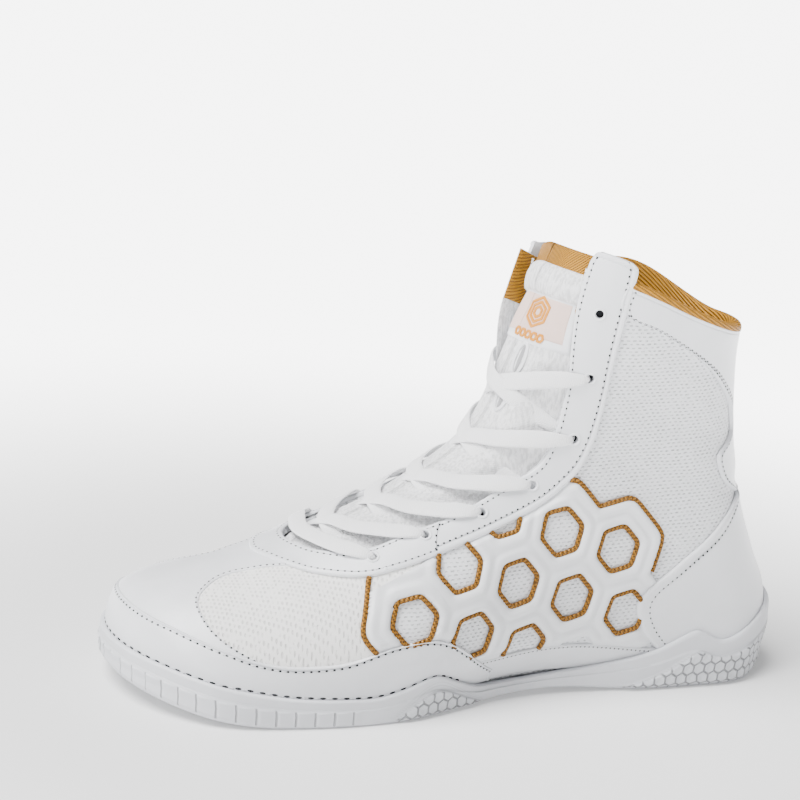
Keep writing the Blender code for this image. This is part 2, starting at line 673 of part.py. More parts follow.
def lace_bar(start, end, lift=0.0, start_lift=0.0):
    """Flat bar from one eyelet over the tongue to another, lifted at its middle and at its start."""
    t = np.linspace(0.03, 0.97, 9)
    rise = start[0] + (end[0] - start[0]) * t
    turn = start[1] + (end[1] - start[1]) * t
    rest = (GAP + OVERLAY + GAP) * 1.25 * (1 - 0.25 * np.sin(math.pi * t)) + LACE_THICK / 2
    out = rest + lift * np.sin(math.pi * t) ** 2 + start_lift * ease(1 - t / 0.8)
    middle = skin(rise, turn, out)
    normal = outward(rise, turn)
    along = np.gradient(middle, axis=0)
    across = np.cross(along, normal)
    across /= np.linalg.norm(across, axis=1, keepdims=True)
    mesh = bmesh.new()
    rings = []
    half = LACE_WIDTH / 2 * (1 - 0.45 * (1 - np.sin(math.pi * t)) ** 4)
    for point, side, up, reach in zip(middle, across, normal, half):
        corners = []
        for a, b in ((-1, -1), (1, -1), (1, 1), (-1, 1)):
            corners.append(mesh.verts.new(point + a * side * reach + b * up * LACE_THICK / 2))
        rings.append(corners)
    quads(mesh, rings, wrap=True)
    mesh.faces.new(rings[0])
    mesh.faces.new(rings[-1])
    return mesh


def make_laces():
    """One crossing over each gap between two rows of eyelets, and a bar at the lowest row."""
    lateral, medial = eyelet_places(False), eyelet_places(True)
    finish("lace_bar", lace_bar(lateral[0], medial[0]), "lace_cotton")
    for row in range(len(lateral) - 2):
        name = "lace_cross_%d" % (row + 1)
        over_end = LACE_THICK + 4 * GAP
        under = finish(name, lace_bar(lateral[row], medial[row + 1], 0.0, over_end), "lace_cotton")
        over = finish(name + "_over", lace_bar(medial[row], lateral[row + 1], LACE_THICK, over_end), None)
        apply_boolean(under, over, "UNION", "join_over")


# Collar

def make_collar_binding():
    """Ribbed gold lining round the inside of the collar, turned over its rim."""
    front = np.linspace(-BINDING_START, -0.90, 8)
    back = np.linspace(-0.93, -1.07, 5)
    medial = np.linspace(-1.10, -2 + BINDING_START * MEDIAL_REACH, 8)
    turns = np.concatenate([front, back, medial])
    top = 1 + (2 * GAP + LINING) / COLLAR_HEIGHT
    rim = 1 + 2 * GAP / COLLAR_HEIGHT
    inside = -UPPER_WALL - 3 * GAP
    profile = (
        (top, GAP + OVERLAY), (top, inside - LINING), (BINDING_RISE, inside - LINING),
        (BINDING_RISE, inside), (rim, inside), (rim, GAP + OVERLAY),
    )
    mesh = bmesh.new()
    rings = []
    for rise, out in profile:
        rings.append([mesh.verts.new(point) for point in skin(rise, turns, np.full(len(turns), out))])
    grid = list(map(list, zip(*rings)))
    quads(mesh, grid, wrap=True)
    mesh.faces.new(grid[0])
    mesh.faces.new(grid[-1])
    return finish("collar_binding", mesh, "gold_webbing")


def make_heel_tab():
    """Small folded loop on the back seam."""
    reach = TAB_HEIGHT / COLLAR_HEIGHT / 2
    rises = np.repeat(np.linspace(TAB_RISE - reach, TAB_RISE + reach, 4)[:, None], 5, axis=1)
    per_turn = np.linalg.norm(last(TAB_RISE, 0.99) - last(TAB_RISE, -0.99)) / 0.02
    half = TAB_WIDTH / 2 / per_turn
    turns = np.repeat((-1 + np.linspace(half, -half, 5))[None, :], 4, axis=0)
    low = GAP + OVERLAY + GAP
    mesh = sheet(rises, turns, low, low + TAB_THICK)
    return finish("heel_tab", mesh, "gold_webbing")


# Sole

def wall_top(x):
    return np.interp(x / SOLE_LENGTH, WALL_CURVE[:, 0], WALL_CURVE[:, 1]) * COLLAR_HEIGHT


def pod(x):
    """How far the side stands out at x, in walls of the cup."""
    at = x / SOLE_LENGTH
    out = np.zeros_like(at)
    for start, end, height in PODS:
        out = out + height * ease((at - start) / 0.03) * ease((end - at) / 0.03)
    return out


def sole_ring(turns, share, out):
    """Ring round the sole at a share of its side's height, out of the cup's inside."""
    rise = np.zeros_like(turns)
    for _ in range(4):
        x = last(rise, turns)[:, 0]
        z = floor_line(x) * (1 - share) + wall_top(x) * share
        rise = np.maximum(rise_of(x, z), 0)
    base = last(rise, turns)
    normal = np.where((rise > 0.01)[:, None], outward(rise, turns), sideways(rise, turns))
    ring = base + normal * (GAP + OVERLAY + CUP_GAP + out * CUP_WALL)[:, None]
    ring[:, 2] = floor_line(ring[:, 0]) * (1 - share) + wall_top(ring[:, 0]) * share
    return ring


def cap(mesh, ring, flip):
    """Closes a ring of vertices with strips from its lateral to its medial side."""
    count = len(ring)
    half = count // 2
    for j in range(half):
        places = (half + j, half + j + 1, half - j - 1, half - j)
        unique = list(dict.fromkeys(ring[place % count] for place in places))
        if len(unique) > 2:
            mesh.faces.new(unique[::-1] if flip else unique)


def make_outsole():
    """Cup sole: side with its steps and pods, rim, and the floor that the upper stands on."""
    side = np.linspace(0, 1, SOLE_COLUMNS + 1)
    turns = np.concatenate([-side[::-1], side[1:-1]])
    mesh = bmesh.new()
    rings = []
    for share, out in SIDE_STEPS:
        x = last(np.zeros_like(turns), turns)[:, 0]
        stand = out + pod(x) * (0.1 < share < 0.65)
        rings.append(sole_ring(turns, share, stand))
    for share in (1.0, 0.72, 0.45):
        rings.append(sole_ring(turns, share, np.zeros_like(turns)))
    inner = last(np.zeros_like(turns), turns) + sideways(0.02, turns) * (GAP + OVERLAY + CUP_GAP)
    inner[:, 2] = floor_line(inner[:, 0]) + SLAB
    rings.append(inner)
    grid = [[mesh.verts.new(point) for point in ring] for ring in rings]
    quads(mesh, grid, wrap=True)
    cap(mesh, grid[0], False)
    cap(mesh, grid[-1], True)
    outsole = finish("outsole", mesh, "white_rubber")
    apply_boolean(outsole, make_ribs(), "UNION", "toe_ribs", "MANIFOLD")
    apply_boolean(outsole, make_tread_tool(), "DIFFERENCE", "tread", "MANIFOLD")
    apply_boolean(outsole, make_hex_tool(), "DIFFERENCE", "pod_hexes", "MANIFOLD")
    return outsole


def block(lateral_turns, shares, outs):
    """Closed box on the sole's side between two turns, two shares of its height and two depths."""
    mesh = bmesh.new()
    corners = []
    for out in outs:
        ring = []
        low, high = shares
        for turn, share in zip(lateral_turns + lateral_turns[::-1], (low, low, high, high)):
            point = sole_ring(np.array([turn]), share, np.array([out]))[0]
            ring.append(mesh.verts.new(point))
        corners.append(ring)
    quads(mesh, corners, wrap=True)
    mesh.faces.new(corners[0])
    mesh.faces.new(corners[1])
    return mesh


def make_ribs():
    """Upright ribs round the side of the toe."""
    ribs = []
    for sign in (-1, 1):
        turn = 0.075
        _, end = turn_at(RIBS_ALONG[1], 0.05, True)
        while turn < end:
            here, there = sole_ring(np.array([turn, turn + 0.01]) * sign, 0.3, np.ones(2))
            per_turn = np.linalg.norm(there - here) / 0.01
            half = RIB_WIDTH / 2 / per_turn
            edges = [sign * (turn - half), sign * (turn + half)]
            ribs.append(block(edges, RIB_SHARES, (0.55, 1 + RIB_HEIGHT / CUP_WALL)))
            turn += RIB_PITCH / per_turn
    return finish("rib_tool", join(ribs), None)


def make_hex_tool():
    """Hidden pins that press hexagons into the side of the pods."""
    pins = []
    for sign in (-1, 1):
        for along, up in POD_HEXES:
            _, turn = turn_at(along, 0.06, True)
            share = up / (wall_top(along * SOLE_LENGTH) / COLLAR_HEIGHT)
            point = sole_ring(np.array([turn * sign]), share, np.array([1.0]))[0]
            x = np.array([along * SOLE_LENGTH])
            stand = (1 + pod(x)[0]) * CUP_WALL
            normal = sideways(0.03, turn * sign)
            pin = bmesh.new()
            bmesh.ops.create_cone(pin, cap_ends=True, segments=6, radius1=HEX_SIZE,
                                  radius2=HEX_SIZE, depth=0.01)
            bmesh.ops.translate(pin, verts=pin.verts, vec=(0, 0, 0.005 - HEX_RECESS))
            pin.transform(Vector(normal).to_track_quat("Z", "X").to_matrix().to_4x4())
            surface = point + normal * (stand - CUP_WALL)
            bmesh.ops.translate(pin, verts=pin.verts, vec=Vector(surface))
            pins.append(pin)
    return finish("hex_pins", join(pins), None)


def groove(route, closed=False):
    """Bar that follows the underside along a route of plan points, for cutting a groove."""
    route = np.asarray(route)
    along = np.gradient(route, axis=0)
    if closed:
        along = np.roll(route, -1, 0) - np.roll(route, 1, 0)
    side = np.stack([-along[:, 1], along[:, 0]], -1)
    side /= np.linalg.norm(side, axis=1, keepdims=True)
    mesh = bmesh.new()
    rings = []
    for (x, y), (a, b) in zip(route, side * GROOVE_WIDTH / 2):
        ring = []
        for sign, low in ((-1, True), (1, True), (1, False), (-1, False)):
            px, py = x + sign * a, y + sign * b
            floor = floor_line(np.array(px))
            ring.append(mesh.verts.new((px, py, floor - SLAB if low else floor + GROOVE_DEPTH)))
        rings.append(ring)
    if closed:
        rings.append(rings[0])
    quads(mesh, rings, wrap=True)
    if not closed:
        mesh.faces.new(rings[0])
        mesh.faces.new(rings[-1])
    return mesh


def plan_point(along, across):
    x = along * SOLE_LENGTH
    return float(x), float(plan(x, 1) + across * BALL_WIDTH)


def disc_pocket(at, radius):
    x, y = plan_point(*at)
    mesh = bmesh.new()
    bmesh.ops.create_cone(mesh, cap_ends=True, segments=16, radius1=radius + 2 * GAP,
                          radius2=radius + 2 * GAP, depth=2 * (DISC_THICK + GAP))
    bmesh.ops.translate(mesh, verts=mesh.verts, vec=(x, y, 0))
    return mesh


def make_tread_tool():
    """Hidden bars and pins that cut the tread: grooves, pockets of the discs, rings round the heel."""
    tools = []
    for rows in GROOVES:
        tools.append(groove([plan_point(*row) for row in rows]))
    x, y = plan_point(*HEEL_DISC_AT)
    for share in RING_GROOVES:
        for start in (20, 140, 260):
            angles = np.radians(np.linspace(start, start + 96, 5))
            ways = np.stack([np.cos(angles), np.sin(angles)], -1)
            tools.append(groove((x, y) + share * HEEL_DISC * ways))
    tools.append(disc_pocket(FORE_DISC_AT, FORE_DISC))
    tools.append(disc_pocket(HEEL_DISC_AT, HEEL_DISC))
    return finish("tread_tool", join(tools), None)


def make_disc(name, at, radius, profile):
    """Turned disc: the profile's rows are share of the radius and share of the thickness cut away."""
    x, y = plan_point(*at)
    under = [(share * radius, GAP + cut * DISC_THICK) for share, cut in profile]
    rows = [(0, DISC_THICK), (radius, DISC_THICK)] + under + [(0, GAP)]
    mesh = bmesh.new()
    verts = [mesh.verts.new((r, 0, z)) for r, z in rows]
    edges = [mesh.edges.new(pair) for pair in zip(verts, verts[1:])]
    bmesh.ops.spin(mesh, geom=verts + edges, axis=(0, 0, 1), cent=(0, 0, 0), angle=2 * math.pi, steps=16)
    bmesh.ops.remove_doubles(mesh, verts=mesh.verts, dist=1e-6)
    bmesh.ops.translate(mesh, verts=mesh.verts, vec=(x, y, 0))
    return finish(name, mesh, "gold_rubber")


def make_insole():
    side = np.linspace(0, 1, 19)
    turns = np.concatenate([-side[::-1], side[1:-1]])
    inset = -UPPER_WALL - 4 * GAP
    mesh = bmesh.new()
    rings = []
    for level in (0.0, INSOLE):
        ring = last(level / COLLAR_HEIGHT, turns) + sideways(0.02, turns) * inset
        ring[:, 2] = feather_line(ring[:, 0]) + level
        rings.append([mesh.verts.new(point) for point in ring])
    quads(mesh, rings, wrap=True)
    cap(mesh, rings[0], False)
    cap(mesh, rings[1], True)
    return finish("insole", mesh, "insole_foam")


def make_materials():
    made = {}
    for name, (red, green, blue, roughness, metallic) in FINISHES.items():
        material = bpy.data.materials.new(name)
        material.use_nodes = True
        shader = material.node_tree.nodes["Principled BSDF"]
        shader.inputs["Base Color"].default_value = (red, green, blue, 1)
        shader.inputs["Roughness"].default_value = roughness
        shader.inputs["Metallic"].default_value = metallic
        made[name] = material
    return made


def stand_on_origin():
    """Moves the shoe so that the middle of its underside is at the origin."""
    bpy.context.view_layer.update()
    graph = bpy.context.evaluated_depsgraph_get()
    corners = []
    for part in bpy.context.scene.objects:
        if part.type == "MESH" and not part.hide_render:
            corners += [part.matrix_world @ Vector(corner) for corner in part.evaluated_get(graph).bound_box]
    low = [min(corner[i] for corner in corners) for i in range(3)]
    high = [max(corner[i] for corner in corners) for i in range(3)]
    SHOE.location = (-(low[0] + high[0]) / 2, -(low[1] + high[1]) / 2, -low[2])


for leftover in list(bpy.data.objects):
    bpy.data.objects.remove(leftover)
MATERIALS = make_materials()
SHOE = bpy.data.objects.new("shoe", None)
bpy.context.collection.objects.link(SHOE)

EYELET_TOOL = make_eyelet_tool()
WALL_FORM = make_wall_form()
CAGE_KEEPERS = make_cage_keepers()
make_upper()
make_eyestay()
make_toe_cap()
make_round_back("heel_counter", COUNTER, 14)
make_round_back("collar_panel", COLLAR_PANEL, 14)
make_waist_bands()
make_cages()
make_tongue()
make_tongue_label()
make_laces()
make_collar_binding()
make_heel_tab()
make_outsole()
make_disc("forefoot_disc", FORE_DISC_AT, FORE_DISC, FORE_DISC_RINGS)
make_disc("heel_disc", HEEL_DISC_AT, HEEL_DISC, HEEL_DISC_RINGS)
make_insole()
stand_on_origin()
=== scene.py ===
"""Looks of a left wrestling shoe: knit and leather on a last, gold cords, flat laces, hexagon tread."""

import logging
import math
from collections.abc import Iterable, Iterator, Sequence
from dataclasses import dataclass, field
from enum import Enum
from functools import cached_property

import bpy
import numpy as np
from mathutils import Matrix, Vector


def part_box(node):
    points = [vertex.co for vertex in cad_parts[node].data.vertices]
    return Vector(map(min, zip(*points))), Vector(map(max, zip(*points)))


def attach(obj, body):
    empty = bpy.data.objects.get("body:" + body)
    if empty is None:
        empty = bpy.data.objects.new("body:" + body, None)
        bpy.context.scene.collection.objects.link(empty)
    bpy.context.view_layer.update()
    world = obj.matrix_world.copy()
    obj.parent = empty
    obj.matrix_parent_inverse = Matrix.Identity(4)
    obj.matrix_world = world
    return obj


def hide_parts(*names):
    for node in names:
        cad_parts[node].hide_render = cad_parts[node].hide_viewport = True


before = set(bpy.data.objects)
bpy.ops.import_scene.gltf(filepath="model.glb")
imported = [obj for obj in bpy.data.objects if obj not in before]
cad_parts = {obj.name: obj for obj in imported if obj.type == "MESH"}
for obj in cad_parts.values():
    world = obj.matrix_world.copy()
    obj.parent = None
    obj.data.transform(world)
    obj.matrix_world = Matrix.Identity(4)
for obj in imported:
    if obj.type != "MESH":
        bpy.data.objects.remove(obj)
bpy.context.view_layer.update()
LOG = logging.getLogger("shoe")
MM = 0.001
Array = np.ndarray

# Last: the same tables as the solids, in shares of its length, ball width and collar height
RIDGE = (
    (0.024, 0.04), (0.018, 0.095), (0.015, 0.16), (0.026, 0.225), (0.055, 0.268),
    (0.105, 0.3), (0.175, 0.337), (0.246, 0.387), (0.323, 0.45), (0.386, 0.505),
    (0.446, 0.575), (0.492, 0.645), (0.522, 0.727), (0.538, 0.827), (0.552, 0.947),
    (0.57, 1.067), (0.588, 1.18), (0.606, 1.3),
)
BACK = (
    (0.98, 0.05), (0.985, 0.1), (0.987, 0.18), (0.979, 0.26), (0.958, 0.34),
    (0.93, 0.467), (0.91, 0.6), (0.893, 0.767), (0.884, 0.907), (0.885, 1.02),
    (0.889, 1.13),
)
# Along, centre line, lateral edge and fullness, medial edge and fullness
PLAN = (
    (0.0, 0.119, 0.44, 0.44, 0.42, 0.42),
    (0.06, 0.104, 0.45, 0.45, 0.425, 0.425),
    (0.12, 0.079, 0.46, 0.47, 0.43, 0.43),
    (0.2, 0.045, 0.465, 0.48, 0.43, 0.435),
    (0.28, 0.02, 0.465, 0.485, 0.41, 0.43),
    (0.36, 0.005, 0.44, 0.47, 0.36, 0.405),
    (0.44, 0.0, 0.37, 0.43, 0.28, 0.365),
    (0.52, 0.0, 0.31, 0.385, 0.235, 0.34),
    (0.6, 0.0, 0.295, 0.36, 0.24, 0.33),
    (0.68, 0.0, 0.31, 0.35, 0.275, 0.335),
    (0.76, 0.0, 0.33, 0.35, 0.31, 0.335),
    (0.9, 0.0, 0.34, 0.35, 0.325, 0.335),
    (1.0, 0.0, 0.34, 0.35, 0.325, 0.335),
)
SHAFT = ((0.333, 0.327), (0.567, 0.302), (0.767, 0.317), (1.0, 0.356), (1.2, 0.381))
COLLAR = (
    (0.0, 1.4), (0.56, 1.155), (0.67, 1.095), (0.76, 1.03),
    (0.84, 0.985), (0.9, 0.98), (1.0, 0.98),
)
RIDGE_ROUND = ((0.0, 0.455), (0.105, 0.396), (0.281, 0.455), (1.0, 0.455))
THROAT = (
    (0.275, 0.12), (0.29, 0.148), (0.31, 0.162), (0.345, 0.175), (0.395, 0.205), (0.455, 0.24),
    (0.515, 0.268), (0.61, 0.25), (0.735, 0.238), (0.87, 0.205), (1.0, 0.18), (1.06, 0.178),
)
# Outer turn, outer rise, inner turn, inner rise, from the collar to the bar over the vamp
EYESTAY = (
    (0.312, 1.054, 0.212, 1.052), (0.328, 1.048, 0.197, 1.044), (0.335, 1.036, 0.19, 1.03),
    (0.338, 1.01, 0.187, 1.005), (0.347, 0.9, 0.198, 0.9),
    (0.356, 0.705, 0.24, 0.735), (0.358, 0.6, 0.252, 0.61), (0.365, 0.507, 0.27, 0.515),
    (0.355, 0.43, 0.242, 0.455), (0.319, 0.374, 0.207, 0.395), (0.277, 0.327, 0.177, 0.345),
    (0.245, 0.283, 0.163, 0.309), (0.222, 0.258, 0.146, 0.289), (0.165, 0.25, 0.105, 0.281),
    (0.085, 0.248, 0.052, 0.277), (0.0, 0.245, 0.0, 0.275),
)
EYELETS = (
    (0.187, 0.291), (0.206, 0.344), (0.25, 0.4), (0.298, 0.467),
    (0.309, 0.592), (0.298, 0.747), (0.27, 0.905),
)
TOE_CAP = (
    (0.0, 0.115), (0.06, 0.115), (0.121, 0.114), (0.163, 0.11), (0.205, 0.104), (0.244, 0.096),
    (0.289, 0.094), (0.339, 0.106), (0.379, 0.139), (0.419, 0.146), (0.457, 0.114), (0.5, 0.045),
)
VAMP_TOP = ((0.27, 0.0), (0.275, 0.12), (0.3, 0.2), (0.36, 0.3), (0.4, 0.37), (0.3, 0.43), (0.16, 0.46))
VAMP_STRIP = (
    (0.092, 0.25), (0.12, 0.19), (0.15, 0.14), (0.17, 0.108),
    (0.195, 0.08), (0.216, 0.07), (0.237, 0.086), (0.258, 0.12),
)
WAIST = ((0.466, 0.08), (0.5, 0.076), (0.56, 0.084), (0.61, 0.086), (0.7, 0.076))
COUNTER = (
    (0.014, 0.703), (0.07, 0.684), (0.145, 0.65), (0.225, 0.626),
    (0.3, 0.647), (0.375, 0.685), (0.44, 0.74), (0.48, 0.8), (0.5, 0.85),
)
COLLAR_PANEL = (
    (0.508, 0.85), (0.547, 0.77), (0.59, 0.733), (0.63, 0.722), (0.662, 0.775), (0.7, 0.828),
    (0.76, 0.8), (0.82, 0.73), (0.872, 0.65), (0.905, 0.55),
    (0.922, 0.44), (0.93, 0.325), (0.998, 0.315),
)
WALL_TOP = (
    (0.0, 0.14), (0.035, 0.133), (0.07, 0.12), (0.13, 0.097), (0.2, 0.077), (0.27, 0.07),
    (0.315, 0.07), (0.355, 0.087), (0.4, 0.11), (0.442, 0.08), (0.48, 0.053), (0.526, 0.05),
    (0.568, 0.053), (0.645, 0.067), (0.709, 0.087), (0.761, 0.113), (0.807, 0.153), (0.828, 0.16),
    (0.86, 0.133), (0.884, 0.133), (0.919, 0.16), (0.965, 0.2), (1.0, 0.22),
)
# Grooves of the tread: shares of the length, and of the ball width across
GROOVES = (
    ((0.055, -0.16), (0.11, 0.06), (0.15, 0.22), (0.185, 0.43)),
    ((0.08, -0.215), (0.135, 0.0), (0.175, 0.16), (0.215, 0.4)),
    ((0.2, -0.395), (0.27, -0.25), (0.345, -0.145), (0.428, -0.085), (0.51, -0.01), (0.56, 0.02)),
    ((0.205, -0.33), (0.28, -0.18), (0.35, -0.09), (0.432, -0.03), (0.505, 0.05)),
    ((0.155, 0.06), (0.21, -0.04), (0.27, -0.11), (0.33, -0.13)),
    ((0.395, -0.16), (0.45, -0.21), (0.505, -0.26)),
    ((0.6, -0.19), (0.66, -0.15), (0.73, -0.15), (0.79, -0.19)),
    ((0.6, 0.14), (0.66, 0.13), (0.73, 0.13), (0.79, 0.17)),
)
# Creases: from rise and turn to rise and turn, depth and width in millimetres, a ridge below zero
CREASES = (
    (0.262, 0.1, 0.215, 0.33, 0.5, 5.0), (0.262, -0.1, 0.205, -0.34, 0.6, 5.0),
    (0.245, -0.05, 0.19, -0.24, -0.35, 4.5), (0.23, 0.06, 0.19, 0.22, -0.3, 4.5),
    (0.56, -0.44, 0.5, -0.66, 0.9, 6.0), (0.64, -0.42, 0.6, -0.7, -0.6, 6.5),
    (0.7, -0.45, 0.69, -0.72, 0.7, 6.0), (0.56, 0.42, 0.5, 0.66, 0.9, 6.0),
    (0.66, 0.42, 0.61, 0.7, -0.6, 6.5), (0.72, 0.44, 0.7, 0.72, 0.7, 6.0),
    (0.54, -0.84, 0.53, -0.99, 0.8, 4.0), (0.54, 0.84, 0.53, 0.99, 0.8, 4.0),
    (0.6, -0.88, 0.605, 0.98, -0.3, 5.0), (0.83, -0.42, 0.8, -0.75, -0.7, 9.0),
    (0.83, 0.42, 0.8, 0.75, -0.7, 9.0), (0.44, -0.37, 0.42, -0.5, 0.5, 5.0),
)


class Side(Enum):
    """Side of the foot, with the sign of its turns."""

    LATERAL = -1
    MEDIAL = 1


def spline(rows: Sequence, per_row: int = 12) -> Array:
    """Smooth curve through the rows of a table.

    Args:
        rows: Points of any width.
        per_row: Points of the curve for each row.

    Returns:
        The curve's points.
    """
    points = np.array(rows, float)
    points = np.vstack([2 * points[0] - points[1], points, 2 * points[-1] - points[-2]])
    t = np.linspace(0, 1, per_row, endpoint=False)[:, None]
    runs = []
    for a, b, c, d in zip(points, points[1:], points[2:], points[3:]):
        square, cube = 2 * a - 5 * b + 4 * c - d, 3 * b - a - 3 * c + d
        runs.append(b + ((c - a) * t + square * t**2 + cube * t**3) / 2)
    runs.append(points[-2:-1])
    return np.vstack(runs)


def ease(t: Array) -> Array:
    """Smooth step from 0 to 1."""
    t = np.clip(t, 0, 1)
    return t * t * (3 - 2 * t)


def circle(count: int) -> Array:
    """Angles at even steps round a circle."""
    return np.linspace(0, 2 * math.pi, count, endpoint=False)


def unit(vectors: Array) -> Array:
    """Vectors of length one."""
    return vectors / np.maximum(np.linalg.norm(vectors, axis=-1, keepdims=True), 1e-12)


def arc_length(points: Array) -> Array:
    """Length along a run of points, from 0 at the first."""
    steps = np.linalg.norm(np.diff(points, axis=0), axis=1)
    return np.concatenate([[0.0], np.cumsum(steps)])


def resample(rows: Array, points: Array, pitch: float, closed: bool = False) -> Array:
    """Rows of a curve at even distances along its points.

    Args:
        rows: What to sample, one row for each point.
        points: Places of the rows.
        pitch: Distance between two samples.
        closed: Whether the last sample stays clear of the first.

    Returns:
        The sampled rows.
    """
    along = arc_length(points)
    count = max(2, round(along[-1] / pitch) + 1)
    at = np.linspace(0, along[-1], count)
    if closed:
        at = at[:-1]
    return np.stack([np.interp(at, along, rows[:, k]) for k in range(rows.shape[1])], -1)


@dataclass
class Last:
    """Form that every layer follows, addressed by rise and turn.

    Rise runs from the feather line (0) to the collar line (1). Turn runs from the ridge in front (0)
    to the back seam (1), negative on the lateral side.
    """

    length: float = 0.285
    ball: float = 0.101
    collar: float = 0.15
    toe_spring: float = 0.009
    arch: float = 0.0028
    kick: float = 0.007
    medial_dip: float = 0.005
    medial_lift: float = 0.0105
    slab: float = 0.0051
    low: float = -0.06
    high: float = 1.3
    rows: int = 420
    columns: int = 560
    disc_place: tuple[float, float] = (0.288, 0.228)

    @cached_property
    def curves(self) -> dict[str, Array]:
        """Smooth curves of the tables."""
        return {
            "ridge": spline(RIDGE) * (self.length, self.collar),
            "back": spline(BACK) * (self.length, self.collar),
            "plan": spline(PLAN),
            "collar": spline(COLLAR),
            "shaft": spline(SHAFT),
            "wall": spline(WALL_TOP, 8),
        }

    @cached_property
    def shift(self) -> Array:
        """Way from the shoe's own frame, with the toe at X 0, to the row frame."""
        low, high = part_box("forefoot_disc")
        along, across = self.disc_place
        x = along * self.length
        y = float(self.plan(x, 1)) + across * self.ball
        return np.array([(low[0] + high[0]) / 2 - x, (low[1] + high[1]) / 2 - y, 0.0])

    def floor_line(self, x: Array) -> Array:
        """Height of the sole's underside.

        Args:
            x: Places along the shoe.

        Returns:
            The heights.
        """
        at = x / self.length
        spring = self.toe_spring * np.clip((0.215 - at) / 0.215, 0, 1) ** 1.9
        arch = self.arch * np.sin(math.pi * np.clip((at - 0.4) / 0.38, 0, 1)) ** 2
        return spring + arch + self.kick * np.clip((at - 0.915) / 0.085, 0, 1.2) ** 1.6

    def feather_line(self, x: Array) -> Array:
        """Height at which the upper meets the sole."""
        return self.floor_line(x) + self.slab

    def along(self, name: str, x: Array, column: int = 1) -> Array:
        """Column of a table's smooth curve at x."""
        curve = self.curves[name]
        return np.interp(x / self.length, curve[:, 0], curve[:, column])

    def collar_line(self, x: Array) -> Array:
        """Height of the collar."""
        return self.along("collar", x) * self.collar

    def wall_line(self, x: Array) -> Array:
        """Height of the sole's rim."""
        return self.along("wall", x) * self.collar

    def plan(self, x: Array, column: int) -> Array:
        """A column of the plan at x, as a length."""
        return self.along("plan", x, column) * self.ball

    def rise_of(self, x: Array, z: Array) -> Array:
        """Rise of a place in side view."""
        low = self.feather_line(x)
        return (z - low) / (self.collar_line(x) - low)

    def half_width(self, x: Array, z: Array, medial: Array) -> Array:
        """Half width at a place in side view.

        Args:
            x: Places along the shoe.
            z: Heights.
            medial: Whether each is on the medial side.

        Returns:
            The half widths.
        """
        edge = np.where(medial, self.plan(x, 4), self.plan(x, 2))
        full = np.where(medial, self.plan(x, 5), self.plan(x, 3))
        up, along = z / self.collar, x / self.length
        foot = edge + (full - edge) * ease((z - self.feather_line(x)) / (0.133 * self.collar))
        shaft_curve = self.curves["shaft"]
        shaft = np.interp(up, shaft_curve[:, 0], shaft_curve[:, 1]) * self.ball
        mix = ease((up - 0.233) / 0.4) * ease((along - 0.351) / 0.246)
        rounds = np.array(RIDGE_ROUND)
        toe_round = np.interp(along, rounds[:, 0], rounds[:, 1]) * self.ball
        front = closing(away(x, z, self.curves["ridge"]), toe_round, 2.4)
        back = closing(away(x, z, self.curves["back"]), 0.356 * self.ball, 2.2)
        return (foot * (1 - mix) + shaft * mix) * front * back

    def reach(self, name: str) -> tuple[Array, Array]:
        """Rises and x of a profile curve, rising all the way.

        Args:
            name: Name of the curve.

        Returns:
            Rises and x.
        """
        curve = self.curves[name]
        rises = np.maximum.accumulate(self.rise_of(curve[:, 0], curve[:, 1]))
        return rises + np.arange(len(rises)) * 1e-9, curve[:, 0]

    def bare(self, rise: Array, turn: Array) -> Array:
        """Points of the last in the shoe's frame, with no creases.

        Args:
            rise: Rises of the points.
            turn: Turns of the points.

        Returns:
            The points.
        """
        front = np.interp(rise, *self.reach("ridge"))
        back = np.interp(rise, *self.reach("back"))
        x = front + (back - front) * (1 - np.cos(math.pi * np.abs(turn))) / 2
        z = self.feather_line(x) * (1 - rise) + self.collar_line(x) * rise
        front_dip = np.sin(math.pi * np.clip(turn / 0.45, 0, 1)) ** 2
        back_lift = np.sin(math.pi * np.clip((turn - 0.35) / 0.62, 0, 1)) ** 2
        z = z + rise**3 * (self.medial_lift * back_lift - self.medial_dip * front_dip)
        width = self.half_width(x, z, turn > 0)
        width = np.where((np.abs(turn) < 1e-9) | (np.abs(turn) > 1 - 1e-9), 0, width)
        return np.stack([x, self.plan(x, 1) + np.sign(turn) * width, z], -1)

    @cached_property
    def table(self) -> tuple[Array, Array, Array]:
        """Places, normals and surface coordinates on a grid of rises and turns."""
        rises = np.linspace(self.low, self.high, self.rows)
        turns = np.linspace(-1, 1, self.columns, endpoint=False)
        turn, rise = np.meshgrid(turns, rises)
        places = self.bare(rise, turn)
        normals = grid_normals(places)
        depth = np.zeros(rise.shape)
        for rise_a, turn_a, rise_b, turn_b, deep, wide in CREASES:
            share = np.linspace(0, 1, 7)
            line = self.bare(rise_a + (rise_b - rise_a) * share, turn_a + (turn_b - turn_a) * share)
            gap = np.min([np.linalg.norm(places - point, axis=-1) for point in spline(line, 4)], axis=0)
            depth += deep * MM * np.exp(-((gap / (wide * MM)) ** 2))
        places = places - normals * (depth * ease((rise - 0.1) / 0.1))[..., None]
        around = np.linalg.norm(np.diff(places, axis=1, append=places[:, :1]), axis=-1)
        around = np.cumsum(around, axis=1) - around
        around -= around[:, self.columns // 2][:, None]
        up = np.linalg.norm(np.diff(places, axis=0, prepend=places[:1]), axis=-1)
        lay = np.stack([around, np.cumsum(up, axis=0)], -1)
        return places + self.shift, grid_normals(places), lay

